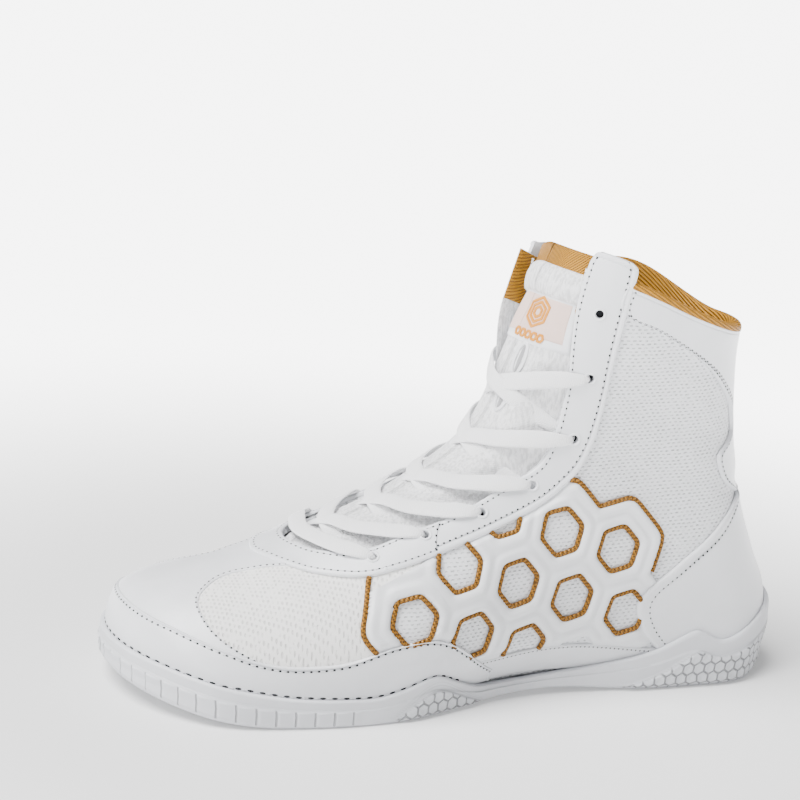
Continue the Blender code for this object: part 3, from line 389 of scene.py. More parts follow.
    def sample(self, which: int, rise: Array, turn: Array) -> Array:
        """Bilinear value of a table.

        Args:
            which: 0 for places, 1 for normals and 2 for surface coordinates.
            rise: Rises of the points.
            turn: Turns of the points.

        Returns:
            The values.
        """
        rise, turn = np.broadcast_arrays(np.asarray(rise, float), np.asarray(turn, float))
        grid = self.table[which]
        i = np.clip((rise - self.low) / (self.high - self.low) * (self.rows - 1), 0, self.rows - 1.001)
        j = ((turn + 1) % 2) / 2 * self.columns
        i0, j0 = np.floor(i).astype(int), np.floor(j).astype(int) % self.columns
        a, b = (i - i0)[..., None], (j - np.floor(j))[..., None]
        j1 = (j0 + 1) % self.columns
        low = grid[i0, j0] * (1 - b) + grid[i0, j1] * b
        high = grid[i0 + 1, j0] * (1 - b) + grid[i0 + 1, j1] * b
        return low * (1 - a) + high * a

    def normal(self, rise: Array, turn: Array) -> Array:
        """Unit normals."""
        return unit(self.sample(1, rise, turn))

    def skin(self, rise: Array, turn: Array, out: Array | float = 0.0) -> Array:
        """Places at a distance out of the last, in the row frame."""
        return self.sample(0, rise, turn) + self.normal(rise, turn) * np.asarray(out)[..., None]

    def on(self, rows: Array, out: Array | float = 0.0) -> Array:
        """Places of rows of (rise, turn)."""
        return self.skin(rows[..., 0], rows[..., 1], out)

    def up(self, rows: Array) -> Array:
        """Unit normals at rows of (rise, turn)."""
        return self.normal(rows[..., 0], rows[..., 1])

    def layer(self, rise: Array, turn: Array, outer: Array | float, inner: Array | float,
              keep: Array | None = None) -> "Mesh":
        """Closed sheet on the last.

        Args:
            rise: Rises of its grid.
            turn: Turns of its grid.
            outer: Distance of its face out of the last.
            inner: Distance of its back.
            keep: Cells to keep, or all.

        Returns:
            The mesh.
        """
        faces = [self.skin(rise, turn, out) for out in (outer, inner)]
        return shell(*faces, self.lay(rise, turn), keep=keep)

    def lay(self, rise: Array, turn: Array) -> Array:
        """Lengths along the surface, round and up, in millimetres.

        Args:
            rise: Rises of the points.
            turn: Turns of the points.

        Returns:
            Two lengths for each point.
        """
        near_seam = np.abs(np.abs(np.asarray(turn, float)) - 1) < 2 / self.columns
        safe = np.where(near_seam, np.sign(turn) * (1 - 2.01 / self.columns), turn)
        return self.sample(2, rise, safe) / MM

    def from_side(self, x: Array, z: Array, side: Side) -> tuple[Array, Array]:
        """Rise and turn of places in side view.

        Args:
            x: Places along the shoe.
            z: Heights.
            side: Side of the foot.

        Returns:
            Rises and turns.
        """
        rise = self.rise_of(x, z)
        front, back = np.interp(rise, *self.reach("ridge")), np.interp(rise, *self.reach("back"))
        turn = np.arccos(1 - 2 * np.clip((x - front) / (back - front), 0, 1)) / math.pi
        return rise, turn * side.value


def away(x: Array, z: Array, curve: Array) -> Array:
    """Distance from points of a plane to a curve.

    Args:
        x: First coordinates of the points.
        z: Second coordinates.
        curve: Points of the curve.

    Returns:
        The distances.
    """
    best = np.full(np.shape(x), 1e9)
    for start, end in zip(curve, curve[1:]):
        run = end - start
        share = np.clip(((x - start[0]) * run[0] + (z - start[1]) * run[1]) / (run @ run), 0, 1)
        gap = (x - start[0] - share * run[0]) ** 2 + (z - start[1] - share * run[1]) ** 2
        best = np.minimum(best, gap)
    return np.sqrt(best)


def closing(distance: Array, reach: Array, full: float) -> Array:
    """Share of the full width, dropping to 0 on the profile."""
    return (1 - np.clip(1 - distance / reach, 0, 1) ** full) ** (1 / 2.1)


def grid_normals(places: Array) -> Array:
    """Normals of a grid that closes on itself from its last column to its first.

    Args:
        places: Points of the grid.

    Returns:
        A normal for each point.
    """
    up = np.gradient(places, axis=0)
    round_ = np.roll(places, -1, 1) - np.roll(places, 1, 1)
    return unit(np.cross(up, round_))


# Shader trees

class Value:
    """Number in a shader tree, which takes part in Python expressions."""

    def __init__(self, tree: "Tree", socket: bpy.types.NodeSocket) -> None:
        """Wraps a socket of a tree."""
        self.tree = tree
        self.socket = socket

    def math(self, operation: str, *others: "Value | float") -> "Value":
        """Math node on this value and others."""
        inputs = dict(enumerate((self, *others)))
        return self.tree.node("ShaderNodeMath", {"operation": operation}, inputs)

    def __add__(self, other: "Value | float") -> "Value":
        """Sum."""
        return self.math("ADD", other)

    __radd__ = __add__

    def __sub__(self, other: "Value | float") -> "Value":
        """Difference."""
        return self.math("SUBTRACT", other)

    def __rsub__(self, other: float) -> "Value":
        """Difference from a number."""
        return self.tree.node("ShaderNodeMath", {"operation": "SUBTRACT"}, {0: other, 1: self})

    def __mul__(self, other: "Value | float") -> "Value":
        """Product."""
        return self.math("MULTIPLY", other)

    __rmul__ = __mul__

    def __truediv__(self, other: "Value | float") -> "Value":
        """Quotient."""
        return self.math("DIVIDE", other)

    def smooth(self, low: float, high: float) -> "Value":
        """Smooth step from 0 at low to 1 at high."""
        settings = {"interpolation_type": "SMOOTHSTEP"}
        return self.tree.node("ShaderNodeMapRange", settings, {"Value": self, 1: low, 2: high})

    def wave(self) -> "Value":
        """Cosine of a number of turns, from 0 to 1."""
        return (self * (2 * math.pi)).math("COSINE") * 0.5 + 0.5


class Tree:
    """Shader tree of one material, with its Principled node."""

    def __init__(self, name: str) -> None:
        """Makes the material.

        Args:
            name: Its name.
        """
        self.material = bpy.data.materials.new(name)
        self.material.use_nodes = True
        self.nodes = self.material.node_tree.nodes
        self.links = self.material.node_tree.links
        self.shader = self.nodes["Principled BSDF"]

    def put(self, node: bpy.types.Node, inputs: dict) -> None:
        """Sets or links the sockets of a node.

        Args:
            node: The node.
            inputs: Values or links, by socket.
        """
        for key, value in inputs.items():
            socket = node.inputs[key]
            if isinstance(value, Value):
                self.links.new(value.socket, socket)
            elif isinstance(value, tuple) and socket.type == "RGBA":
                socket.default_value = (*value, 1) if len(value) == 3 else value
            else:
                socket.default_value = value

    def node(self, kind: str, settings: dict, inputs: dict, output: int | str = 0) -> Value:
        """New node.

        Args:
            kind: Type of the node.
            settings: Its properties.
            inputs: Values or links of its sockets.
            output: Socket to return.

        Returns:
            The wrapped output.
        """
        node = self.nodes.new(kind)
        for key, value in settings.items():
            setattr(node, key, value)
        self.put(node, inputs)
        return Value(self, node.outputs[output])

    def mix(self, factor: Value | float, a: Value | tuple, b: Value | tuple) -> Value:
        """Colour between two colours."""
        return self.node("ShaderNodeMix", {"data_type": "RGBA"}, {0: factor, 6: a, 7: b}, 2)

    def place(self) -> Value:
        """Object coordinates, in metres."""
        return self.node("ShaderNodeTexCoord", {}, {}, "Object")

    def stored(self, name: str) -> tuple[Value, Value, Value]:
        """Three numbers stored on the piece's points.

        Args:
            name: Name of the attribute.

        Returns:
            The three numbers.
        """
        vector = self.node("ShaderNodeAttribute", {"attribute_name": name}, {}, "Vector")
        first = self.node("ShaderNodeSeparateXYZ", {}, {0: vector}, "X")
        outputs = first.socket.node.outputs
        return first, Value(self, outputs["Y"]), Value(self, outputs["Z"])

    def lay(self) -> tuple[Value, Value]:
        """Coordinates along the piece's own surface, in millimetres."""
        return self.stored("lay")[:2]

    def noise(self, pitch_mm: float, detail: float = 3.0, stretch: tuple = (1, 1, 1)) -> Value:
        """Noise in space, with its pitch in millimetres.

        Args:
            pitch_mm: Its pitch.
            detail: Finer layers in it.
            stretch: Factors on its coordinates.

        Returns:
            The noise, from 0 to 1.
        """
        scaled = self.node("ShaderNodeVectorMath", {"operation": "MULTIPLY"},
                           {0: self.place(), 1: Vector(stretch)})
        inputs = {"Vector": scaled, "Scale": 1000 / pitch_mm, "Detail": detail}
        return self.node("ShaderNodeTexNoise", {}, inputs)

    def cells(self, pitch_mm: float) -> Value:
        """Soft distance in a Voronoi pattern in space."""
        inputs = {"Vector": self.place(), "Scale": 1000 / pitch_mm}
        return self.node("ShaderNodeTexVoronoi", {"feature": "SMOOTH_F1"}, inputs, "Distance")

    def bump(self, height: Value, depth_mm: float, below: Value | None = None) -> Value:
        """Normal from a height between 0 and 1.

        Args:
            height: The relief.
            depth_mm: Its depth.
            below: Normal that it adds to.

        Returns:
            The normal.
        """
        inputs = {"Height": height, "Strength": 1.0, "Distance": depth_mm * MM}
        if below is not None:
            inputs["Normal"] = below
        return self.node("ShaderNodeBump", {}, inputs)


@dataclass(frozen=True)
class Finish:
    """Plain finish: a name, a record slot and a colour. The kinds below add to it."""

    name: str
    slot: str
    colour: tuple[float, float, float]
    roughness: float = 0.5

    def toned(self, factor: float) -> tuple[float, ...]:
        """The colour, darker or brighter."""
        return tuple(min(1.0, c * factor) for c in self.colour)

    def weave(self, tree: Tree) -> None:
        """Adds what varies over the surface."""

    def material(self) -> bpy.types.Material:
        """The finish as a material, made once."""
        if self.name in bpy.data.materials:
            return bpy.data.materials[self.name]
        tree = Tree(self.name)
        tree.put(tree.shader, {"Base Color": self.colour, "Roughness": self.roughness})
        self.weave(tree)
        return tree.material


@dataclass(frozen=True)
class Leather(Finish):
    """Smooth coated leather with a fine grain and faint soft folds."""

    grain_mm: float = 0.7
    sheen: float = 0.25

    def weave(self, tree: Tree) -> None:
        """Grain, scuffs and uneven gloss.

        Args:
            tree: The material's tree.
        """
        cloud = tree.noise(14.0)
        folds = tree.bump(tree.noise(5.0, 2.0), 0.16)
        tree.put(tree.shader, {
            "Base Color": tree.mix(cloud.smooth(0.35, 0.75), self.toned(0.955), self.colour),
            "Roughness": self.roughness + 0.16 * (cloud - 0.5),
            "Coat Weight": self.sheen,
            "Coat Roughness": 0.35,
            "Normal": tree.bump(tree.cells(self.grain_mm), 0.03, folds),
        })


@dataclass(frozen=True)
class MeshKnit(Finish):
    """Knit mesh with staggered dashes, as on the sides of the shaft."""

    pitch_mm: float = 2.5
    row_mm: float = 1.45
    dash: float = 0.6

    def weave(self, tree: Tree) -> None:
        """Dashes that sink, darkened with painted shade, over a fine thread.

        Args:
            tree: The material's tree.
        """
        across, up = tree.lay()
        wobble = tree.noise(6.0)
        row = (up - 0.04 * across) / self.row_mm + 0.5 * wobble
        odd = (row.math("FLOOR") * 0.5).math("FRACT")
        along = (across / self.pitch_mm + odd + 0.8 * wobble).math("FRACT")
        inside = (along - 0.5).math("ABSOLUTE").smooth(self.dash / 2, self.dash / 2 - 0.12)
        line = (row.math("FRACT") - 0.5).math("ABSOLUTE").smooth(0.26, 0.06)
        dash = inside * line * (0.35 + 0.65 * tree.noise(1.3, 1.0).smooth(0.36, 0.62))
        thread = (across * 2.6).wave() * (up * 2.6).wave()
        # Painted shade: the sunk dashes darken the knit to 0.58 of its colour.
        tree.put(tree.shader, {
            "Base Color": tree.mix(dash, self.colour, self.toned(0.58)),
            "Normal": tree.bump(1 - dash, 0.4, tree.bump(thread, 0.05)),
        })


@dataclass(frozen=True)
class PinMesh(Finish):
    """Fine mesh with staggered pinholes, as on the vamp."""

    pitch_mm: float = 1.9

    def weave(self, tree: Tree) -> None:
        """Pinholes darkened with painted shade, and a soft weave.

        Args:
            tree: The material's tree.
        """
        across, up = tree.lay()
        row = up / (self.pitch_mm * 0.8)
        odd = (row.math("FLOOR") * 0.5).math("FRACT")
        x = (across / self.pitch_mm + odd).math("FRACT") - 0.5
        y = row.math("FRACT") - 0.5
        hole = (x * x + y * y).smooth(0.11, 0.03) * tree.noise(2.2, 2.0).smooth(0.3, 0.58)
        # Painted shade: the pinholes darken the mesh to 0.66 of its colour.
        tree.put(tree.shader, {
            "Base Color": tree.mix(hole * 0.75, self.colour, self.toned(0.66)),
            "Normal": tree.bump(1 - hole, 0.22, tree.bump(tree.noise(0.6), 0.06)),
        })


@dataclass(frozen=True)
class Padding(Finish):
    """Soft knit with upright streaks, as on the tongue and inside the shaft."""

    streak: float = 3.0

    def weave(self, tree: Tree) -> None:
        """Streaks of a melange yarn and fine loops.

        Args:
            tree: The material's tree.
        """
        across, up = tree.lay()
        streaks = tree.noise(3.2, 3.0, (self.streak, self.streak, 1.0))
        loops = (across * 1.1).wave() * (up * 0.8).wave()
        tree.put(tree.shader, {
            "Base Color": tree.mix(streaks.smooth(0.38, 0.66), self.colour, self.toned(0.72)),
            "Normal": tree.bump(loops, 0.12, tree.bump(streaks, 0.25)),
        })


@dataclass(frozen=True)
class Webbing(Finish):
    """Gold webbing with slanting ribs, dark between them."""

    pitch_mm: float = 1.45
    slant: float = 0.22
    metal: float = 0.1

    def weave(self, tree: Tree) -> None:
        """Ribs, threads and their shade.

        Args:
            tree: The material's tree.
        """
        across, up = tree.lay()
        rib = ((up + across * self.slant) / self.pitch_mm).wave()
        thread = (across * 1.3 - up * 0.6).wave()
        shade = (rib * 0.75 + 0.25 * thread).smooth(0.05, 0.65) * (0.55 + 0.9 * tree.noise(1.6))
        tree.put(tree.shader, {
            "Base Color": tree.mix(shade, self.toned(0.34), self.colour),
            "Metallic": self.metal,
            "Normal": tree.bump(rib, 0.35, tree.bump(thread, 0.1)),
        })


@dataclass(frozen=True)
class Glitter(Finish):
    """Twisted bronze cord, with painted shade and highlights along its strands."""

    twist_mm: float = 1.9
    metal: float = 0.55

    def weave(self, tree: Tree) -> None:
        """Strands that run round the cord, with painted shade and painted glints.

        Args:
            tree: The material's tree.
        """
        along, around = tree.lay()
        strand = (along / self.twist_mm + around * 0.35).wave()
        cross = (along / 1.1 - around * 0.5).wave()
        glint_speck = tree.noise(0.7, 4.0)
        # Painted light: the twist's shade and the specks' glints go into the colour, from 0.33 to 1.35 times
        # it.
        shade = (0.55 * strand + 0.45 * cross) * (0.35 + 1.3 * glint_speck)
        tree.put(tree.shader, {
            "Base Color": tree.mix(shade.smooth(0.12, 0.75), self.toned(0.33), self.toned(1.35)),
            "Metallic": self.metal,
            "Normal": tree.bump(strand, 0.3, tree.bump(glint_speck, 0.12)),
        })


@dataclass(frozen=True)
class Rubber(Finish):
    """Moulded rubber with a fine matt skin."""

    def weave(self, tree: Tree) -> None:
        """Skin and faint flow marks.

        Args:
            tree: The material's tree.
        """
        cloud = tree.noise(22.0)
        tree.put(tree.shader, {
            "Base Color": tree.mix(cloud.smooth(0.35, 0.7), self.toned(0.95), self.colour),
            "Roughness": self.roughness + 0.15 * (cloud - 0.5),
            "Normal": tree.bump(tree.noise(0.5, 2.0), 0.025),
        })


@dataclass(frozen=True)
class CupRubber(Finish):
    """Rubber of the cup, with honeycomb lines on its pods and ribs round its toe.

    The marks stored on its points are the pods, the toe's ribs, and the painted shade of the grooves and the
    pods' edges.
    """

    cell_mm: float = 4.9
    rib_mm: float = 7.4

    def comb(self, x: Value, y: Value) -> Value:
        """Distance from the nearest border of a honeycomb.

        Args:
            x: Place along the cup, in millimetres.
            y: Height, in millimetres.

        Returns:
            The distance, in millimetres.
        """
        tall = self.cell_mm * math.sqrt(3)
        inner = []
        for shift in (0.0, 0.5):
            u = ((x / self.cell_mm + shift).math("FRACT") - 0.5).math("ABSOLUTE") * self.cell_mm
            v = ((y / tall + shift).math("FRACT") - 0.5).math("ABSOLUTE") * tall
            inner.append(self.cell_mm / 2 - u.math("MAXIMUM", u * 0.5 + v * (math.sqrt(3) / 2)))
        return inner[0].math("MAXIMUM", inner[1])

    def weave(self, tree: Tree) -> None:
        """Lines, dished cells, painted shade in the lines, ribs and grooves, and a matt skin.

        Args:
            tree: The material's tree.
        """
        x, y = tree.lay()
        pod, toe, groove = tree.stored("marks")
        gap = self.comb(x + 1.6 * (tree.noise(9.0) - 0.5), y)
        line = (1 - gap.smooth(0.16, 0.5)) * pod
        dish = gap.smooth(0.6, 2.2) * pod
        saw = (x / self.rib_mm).math("FRACT")
        rib = (saw - 0.5).math("ABSOLUTE").smooth(0.43, 0.485) * toe
        base = tree.mix(tree.noise(22.0).smooth(0.35, 0.7), self.toned(0.94), self.colour)
        # Painted shade: the honeycomb lines, the toe's rib steps and the grooves darken the rubber to 0.3 of
        # its colour.
        shade = (line * 0.85 + rib * 0.7).math("MAXIMUM", groove * 0.6)
        relief = 1 - line - 0.35 * dish - rib * 0.8
        tree.put(tree.shader, {
            "Base Color": tree.mix(shade, base, self.toned(0.3)),
            "Normal": tree.bump(relief, 0.55, tree.bump(tree.noise(0.5, 2.0), 0.02)),
        })


@dataclass(frozen=True)
class Woven(Finish):
    """Flat woven lace or thread with a herringbone."""

    pitch_mm: float = 0.85

    def weave(self, tree: Tree) -> None:
        """Herringbone across the width.

        Args:
            tree: The material's tree.
        """
        along, across = tree.lay()
        bone = (along / self.pitch_mm + (across * 0.42).math("ABSOLUTE")).wave()
        wear = tree.noise(5.0)
        tree.put(tree.shader, {
            "Base Color": tree.mix(bone * (0.5 + 0.6 * wear), self.toned(0.93), self.colour),
            "Normal": tree.bump(bone, 0.1, tree.bump(wear, 0.1)),
        })


WHITE_LEATHER = Leather("white_leather_finish", "white_leather", (0.74, 0.75, 0.775), 0.42)
EDGE_LEATHER = Leather("edge_leather_finish", "white_leather", (0.76, 0.77, 0.79), 0.4, 0.5)
SIDE_KNIT = MeshKnit("side_knit_finish", "white_knit", (0.78, 0.79, 0.81), 0.85)
VAMP_MESH = PinMesh("vamp_mesh_finish", "white_knit", (0.82, 0.81, 0.79), 0.85)
TONGUE_KNIT = Padding("tongue_finish", "tongue_knit", (0.8, 0.8, 0.81), 0.9)
LINING_KNIT = Padding("lining_finish", "white_knit", (0.66, 0.66, 0.67), 0.9)
GOLD_WEBBING = Webbing("webbing_finish", "gold_webbing", (0.46, 0.2, 0.002), 0.6)
GOLD_CORD = Glitter("cord_finish", "gold_webbing", (0.22, 0.095, 0.008), 0.45)
GOLD_RUBBER = Rubber("gold_rubber_finish", "gold_rubber", (0.42, 0.23, 0.04), 0.45)
CUP_RUBBER = CupRubber("cup_rubber_finish", "white_rubber", (0.66, 0.67, 0.7), 0.5)
WHITE_RUBBER = Rubber("white_rubber_finish", "white_rubber", (0.8, 0.81, 0.83), 0.5)
LACE = Woven("lace_finish", "lace_cotton", (0.84, 0.84, 0.85), 0.8)
THREAD = Woven("thread_finish", "lace_cotton", (0.74, 0.75, 0.77), 0.8, 0.5)
FOOTBED = Padding("footbed_finish", "insole_foam", (0.62, 0.61, 0.6), 0.95)
LABEL_CLOTH = Woven("label_finish", "label_satin", (0.8, 0.6, 0.53), 0.6, 0.5)
LABEL_MARK = Woven("label_mark_finish", "label_satin", (0.66, 0.25, 0.006), 0.55, 0.5)
# Painted shade: a dark sheet over each lace keeper's slot, where its opening lies in shadow.
KEEPER_SLOT_SHADE = Finish("keeper_slot_finish", "tongue_knit", (0.3, 0.3, 0.31), 0.95)
# Painted shade: near-black, for the needle holes and the insides of the eyelets.
HOLE_SHADE = Finish("needle_hole_finish", "white_leather", (0.025, 0.025, 0.028), 0.95)


# Meshes

@dataclass
class Mesh:
    """Points, faces and surface coordinates of a piece while it is made."""

    points: Array
    faces: list[tuple[int, ...]]
    lay: Array
    marks: Array | None = None


def merged(meshes: Sequence[Mesh]) -> Mesh:
    """Many meshes as one.

    Args:
        meshes: The meshes.

    Returns:
        The mesh of all.
    """
    shifts = np.cumsum([0] + [len(mesh.points) for mesh in meshes[:-1]])
    faces = []
    for mesh, shift in zip(meshes, shifts):
        faces += [tuple(k + int(shift) for k in face) for face in mesh.faces]
    return Mesh(np.vstack([m.points for m in meshes]), faces, np.vstack([m.lay for m in meshes]))


def grid_faces(rows: int, columns: int, wrap: bool = False, keep: Array | None = None,
               start: int = 0, flip: bool = False) -> list[tuple[int, ...]]:
    """Quads between the rows and columns of a grid of points.

    Args:
        rows: Rows of points.
        columns: Columns of points.
        wrap: Whether the last column joins the first.
        keep: Cells to keep, or all.
        start: Index of the grid's first point.
        flip: Whether the faces turn round.

    Returns:
        The faces.
    """
    i, j = np.meshgrid(np.arange(rows - 1), np.arange(columns if wrap else columns - 1), indexing="ij")
    k = (j + 1) % columns
    a, b, c, d = i * columns + j, (i + 1) * columns + j, (i + 1) * columns + k, i * columns + k
    cells = np.stack([a, b, c, d], -1)
    if flip:
        cells = cells[..., ::-1]
    cells = cells[keep[: rows - 1, : cells.shape[1]]] if keep is not None else cells.reshape(-1, 4)
    return [tuple(cell) for cell in (cells + start).tolist()]


def joined_faces(index: Array) -> list[tuple[int, ...]]:
    """Faces of a grid of point numbers, in which neighbours may be one point.

    Args:
        index: The numbers.

    Returns:
        The faces.
    """
    cells = np.stack([index[:-1, :-1], index[1:, :-1], index[1:, 1:], index[:-1, 1:]], -1)
    faces = [tuple(dict.fromkeys(cell)) for cell in cells.reshape(-1, 4).tolist()]
    return [face for face in faces if len(face) > 2]


def shell(outer: Array, inner: Array, lay: Array, wrap: bool = False, keep: Array | None = None) -> Mesh:
    """Closed mesh between two grids of points.

    Args:
        outer: Grid of outer points.
        inner: Grid of inner points.
        lay: Surface coordinates of the grid.
        wrap: Whether the last column joins the first.
        keep: Cells to keep, or all.

    Returns:
        The mesh, with a wall along every open edge.
    """
    rows, columns = outer.shape[:2]
    count = rows * columns
    top = grid_faces(rows, columns, wrap, keep)
    under = grid_faces(rows, columns, wrap, keep, count, True)
    cells = np.array(top)
    edges = np.concatenate([cells[:, [0, 1]], cells[:, [1, 2]], cells[:, [2, 3]], cells[:, [3, 0]]])
    keys = np.sort(edges, axis=1)
    _, index, uses = np.unique(keys[:, 0] * count + keys[:, 1], return_index=True, return_counts=True)
    border = edges[index[uses == 1]]
    walls = [(b, a, a + count, b + count) for a, b in border.tolist()]
    points = np.vstack([outer.reshape(-1, 3), inner.reshape(-1, 3)])
    flat = lay.reshape(-1, lay.shape[-1])
    return Mesh(points, top + under + walls, np.vstack([flat, flat]))


def sweep(path: Array, up: Array, half_width: Array | float, half_height: Array | float,
          sides: int = 10, square: float = 2.0, closed: bool = False) -> Mesh:
    """Mesh of a section that follows a path.

    Args:
        path: Middle points.
        up: Way that the section's height points, at each point.
        half_width: Half width of the section.
        half_height: Half height of the section.
        sides: Points of the section.
        square: 2 for an ellipse, and more for a flatter section.
        closed: Whether the path is a loop.

    Returns:
        The mesh, with round ends on an open path.
    """
    count = len(path)
    along = np.roll(path, -1, 0) - np.roll(path, 1, 0) if closed else np.gradient(path, axis=0)
    side = unit(np.cross(along, up))
    up = unit(np.cross(side, along))
    wide = np.broadcast_to(half_width, (count,))
    high = np.broadcast_to(half_height, (count,))
    angle = circle(sides)
    power = 2 / square
    cos = np.sign(np.cos(angle)) * np.abs(np.cos(angle)) ** power
    sin = np.sign(np.sin(angle)) * np.abs(np.sin(angle)) ** power
    rings = (path[:, None] + side[:, None] * (wide[:, None] * cos)[..., None]
             + up[:, None] * (high[:, None] * sin)[..., None])
    lay = np.zeros((count, sides, 2))
    lay[..., 0] = arc_length(path)[:, None] / MM
    lay[..., 1] = wide[:, None] * cos / MM
    faces = grid_faces(count + closed, sides, wrap=True)
    if closed:
        faces = [tuple(k % (count * sides) for k in face) for face in faces]
    else:
        faces += [tuple(range(sides)), tuple(range((count - 1) * sides, count * sides))[::-1]]
    return Mesh(rings.reshape(-1, 3), faces, lay.reshape(-1, 2))


def turned_out(data: bpy.types.Mesh) -> None:
    """Turns the faces of a closed mesh outward.

    Args:
        data: The mesh.
    """
    corners = np.zeros(len(data.vertices) * 3)
    data.vertices.foreach_get("co", corners)
    corners = corners.reshape(-1, 3)
    data.calc_loop_triangles()
    triangles = np.zeros(len(data.loop_triangles) * 3, int)
    data.loop_triangles.foreach_get("vertices", triangles)
    a, b, c = corners[triangles.reshape(-1, 3)].transpose(1, 0, 2)
    if np.einsum("ij,ij->i", a, np.cross(b, c)).sum() < 0:
        data.flip_normals()


def new_object(name: str, mesh: Mesh) -> bpy.types.Object:
    """Object in the scene, with its faces turned outward.

    Args:
        name: Its name.
        mesh: Its points and faces.

    Returns:
        The object.
    """
    data = bpy.data.meshes.new(name)
    data.from_pydata(mesh.points.tolist(), [], mesh.faces)
    turned_out(data)
    part = bpy.data.objects.new(name, data)
    bpy.context.collection.objects.link(part)
    return part


class Rack:
    """Makes pieces from meshes, dresses them and puts them on the body."""

    body = "root"

    def piece(self, name: str, mesh: Mesh, finish: Finish, stands_for: Iterable[str] = (),
              crease: float = 50.0) -> bpy.types.Object:
        """New piece.

        Args:
            name: Name of the piece.
            mesh: Its points and faces.
            finish: Its finish.
            stands_for: Nodes that it replaces.
            crease: Angle from which an edge stays sharp, in degrees.

        Returns:
            The object.
        """
        part = new_object(name, mesh)
        data = part.data
        data.shade_smooth()
        data.set_sharp_from_angle(angle=math.radians(crease))
        lay = np.pad(mesh.lay[:, :2], ((0, 0), (0, 1)))
        for key, rows in (("lay", lay), ("marks", mesh.marks)):
            if rows is not None:
                data.attributes.new(key, "FLOAT_VECTOR", "POINT").data.foreach_set("vector", rows.ravel())
        data.materials.append(finish.material())
        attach(part, self.body)
        if stands_for:
            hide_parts(*stands_for)
        LOG.info("%s: %d faces", name, len(data.polygons))
        return part

    def cut(self, part: bpy.types.Object, tool: Mesh) -> None:
        """Cuts closed forms out of a piece for good.

        Args:
            part: The piece.
            tool: The forms.
        """
        cutter = new_object("cutter", tool)
        step = part.modifiers.new("holes", "BOOLEAN")
        step.operation, step.solver, step.object = "DIFFERENCE", "MANIFOLD", cutter
        graph = bpy.context.evaluated_depsgraph_get()
        made = bpy.data.meshes.new_from_object(part.evaluated_get(graph))
        part.modifiers.clear()
        part.data = made
        bpy.data.objects.remove(cutter)


def from_edge(points: Array) -> Array:
    """Distance from each point of a grid to its nearest border, along its rows and columns.

    Args:
        points: Points of the grid.

    Returns:
        The distances.
    """
    gaps = []
    for axis in (0, 1):
        steps = np.linalg.norm(np.diff(points, axis=axis), axis=-1)
        run = np.insert(np.cumsum(steps, axis=axis), 0, 0, axis=axis)
        gaps.append(np.minimum(run, np.take(run, [-1], axis=axis) - run))
    return np.minimum(*gaps)


@dataclass
class Layers:
    """Distances of the layers out of the last, in metres."""

    wall: float = 0.002
    gap: float = 0.0003
    overlay: float = 0.0012
    thin: float = 0.0006
    medial: float = 0.9

    def reach(self, side: Side) -> float:
        """Factor from a lateral turn of the tables to a side's turn."""
        return -1.0 if side is Side.LATERAL else self.medial


@dataclass
class Fitted:
    """Base of the sub-assemblies, which are fitted to the last in layers."""

    rack: Rack
    last: Last
    layers: Layers


@dataclass
class Seams:
    """Collects stitches and the painted shade of their needle holes, which become two pieces."""

    last: Last
    long: float = 0.95 * MM
    thick: float = 0.28 * MM
    hole: float = 0.58 * MM
    threads: list[Mesh] = field(default_factory=list)
    holes: list[Mesh] = field(default_factory=list)

    def bead(self, centre: Array, along: Array, up: Array, size: tuple[float, float, float]) -> Mesh:
        """Ellipsoids at many places.

        Args:
            centre: Middle of each.
            along: Way of its length.
            up: Way of its height.
            size: Half length, half width and half height.

        Returns:
            All of them as one mesh.
        """
        rings, sides = 4, 6
        polar = np.linspace(0, math.pi, rings + 1)[1:-1]
        angle = circle(sides)
        ring = np.stack(np.meshgrid(polar, angle, indexing="ij"), -1).reshape(-1, 2)
        proto = np.stack([np.cos(ring[:, 0]), np.sin(ring[:, 0]) * np.cos(ring[:, 1]),
                          np.sin(ring[:, 0]) * np.sin(ring[:, 1])], -1)
        proto = np.vstack([[(1, 0, 0)], proto, [(-1, 0, 0)]]) * size
        side = unit(np.cross(along, up))
        axes = np.stack([unit(along), side, unit(up)], 1)
        points = centre[:, None] + np.einsum("kp,nkj->npj", proto.T, axes)
        last = len(proto) - 1
        faces = [tuple(k + 1 for k in face) for face in grid_faces(rings - 1, sides, wrap=True)]
        for j in range(sides):
            k = (j + 1) % sides
            faces.append((0, 1 + j, 1 + k))
            faces.append((last, last - sides + k, last - sides + j))
        cells = []
        for n in range(len(centre)):
            cells += [tuple(k + n * len(proto) for k in face) for face in faces]
        lay = np.tile(proto[:, :2] / MM, (len(centre), 1))
        return Mesh(points.reshape(-1, 3), cells, lay)

    def run(self, rows: Array, out: float, pitch: float, long: float = 1.0) -> None:
        """Stitches along a route.

        Args:
            rows: Rise and turn along the route.
            out: Distance of the leather's face out of the last.
            pitch: Distance between two stitches.
            long: Length of the painted shade at the holes, in widths.
        """
        rows = resample(rows, self.last.on(rows), pitch / 2)
        points, up = self.last.on(rows, out), self.last.up(rows)
        along = np.gradient(points, axis=0)
        mid, ends = slice(1, None, 2), slice(0, None, 2)
        size = (self.long, self.thick, self.thick * 0.8)
        self.threads.append(self.bead(points[mid], along[mid], up[mid], size))
        # Painted shade: a near-black bead sunk at each needle hole.
        low = points[ends] - up[ends] * self.hole * 0.15
        size = (self.hole * long, self.hole * 0.8, self.hole * 0.4)
        self.holes.append(self.bead(low, along[ends], up[ends], size))

    def build(self, rack: Rack) -> None:
        """Makes the two pieces."""
        rack.piece("stitches", merged(self.threads), THREAD)
        rack.piece("needle_holes", merged(self.holes), HOLE_SHADE)


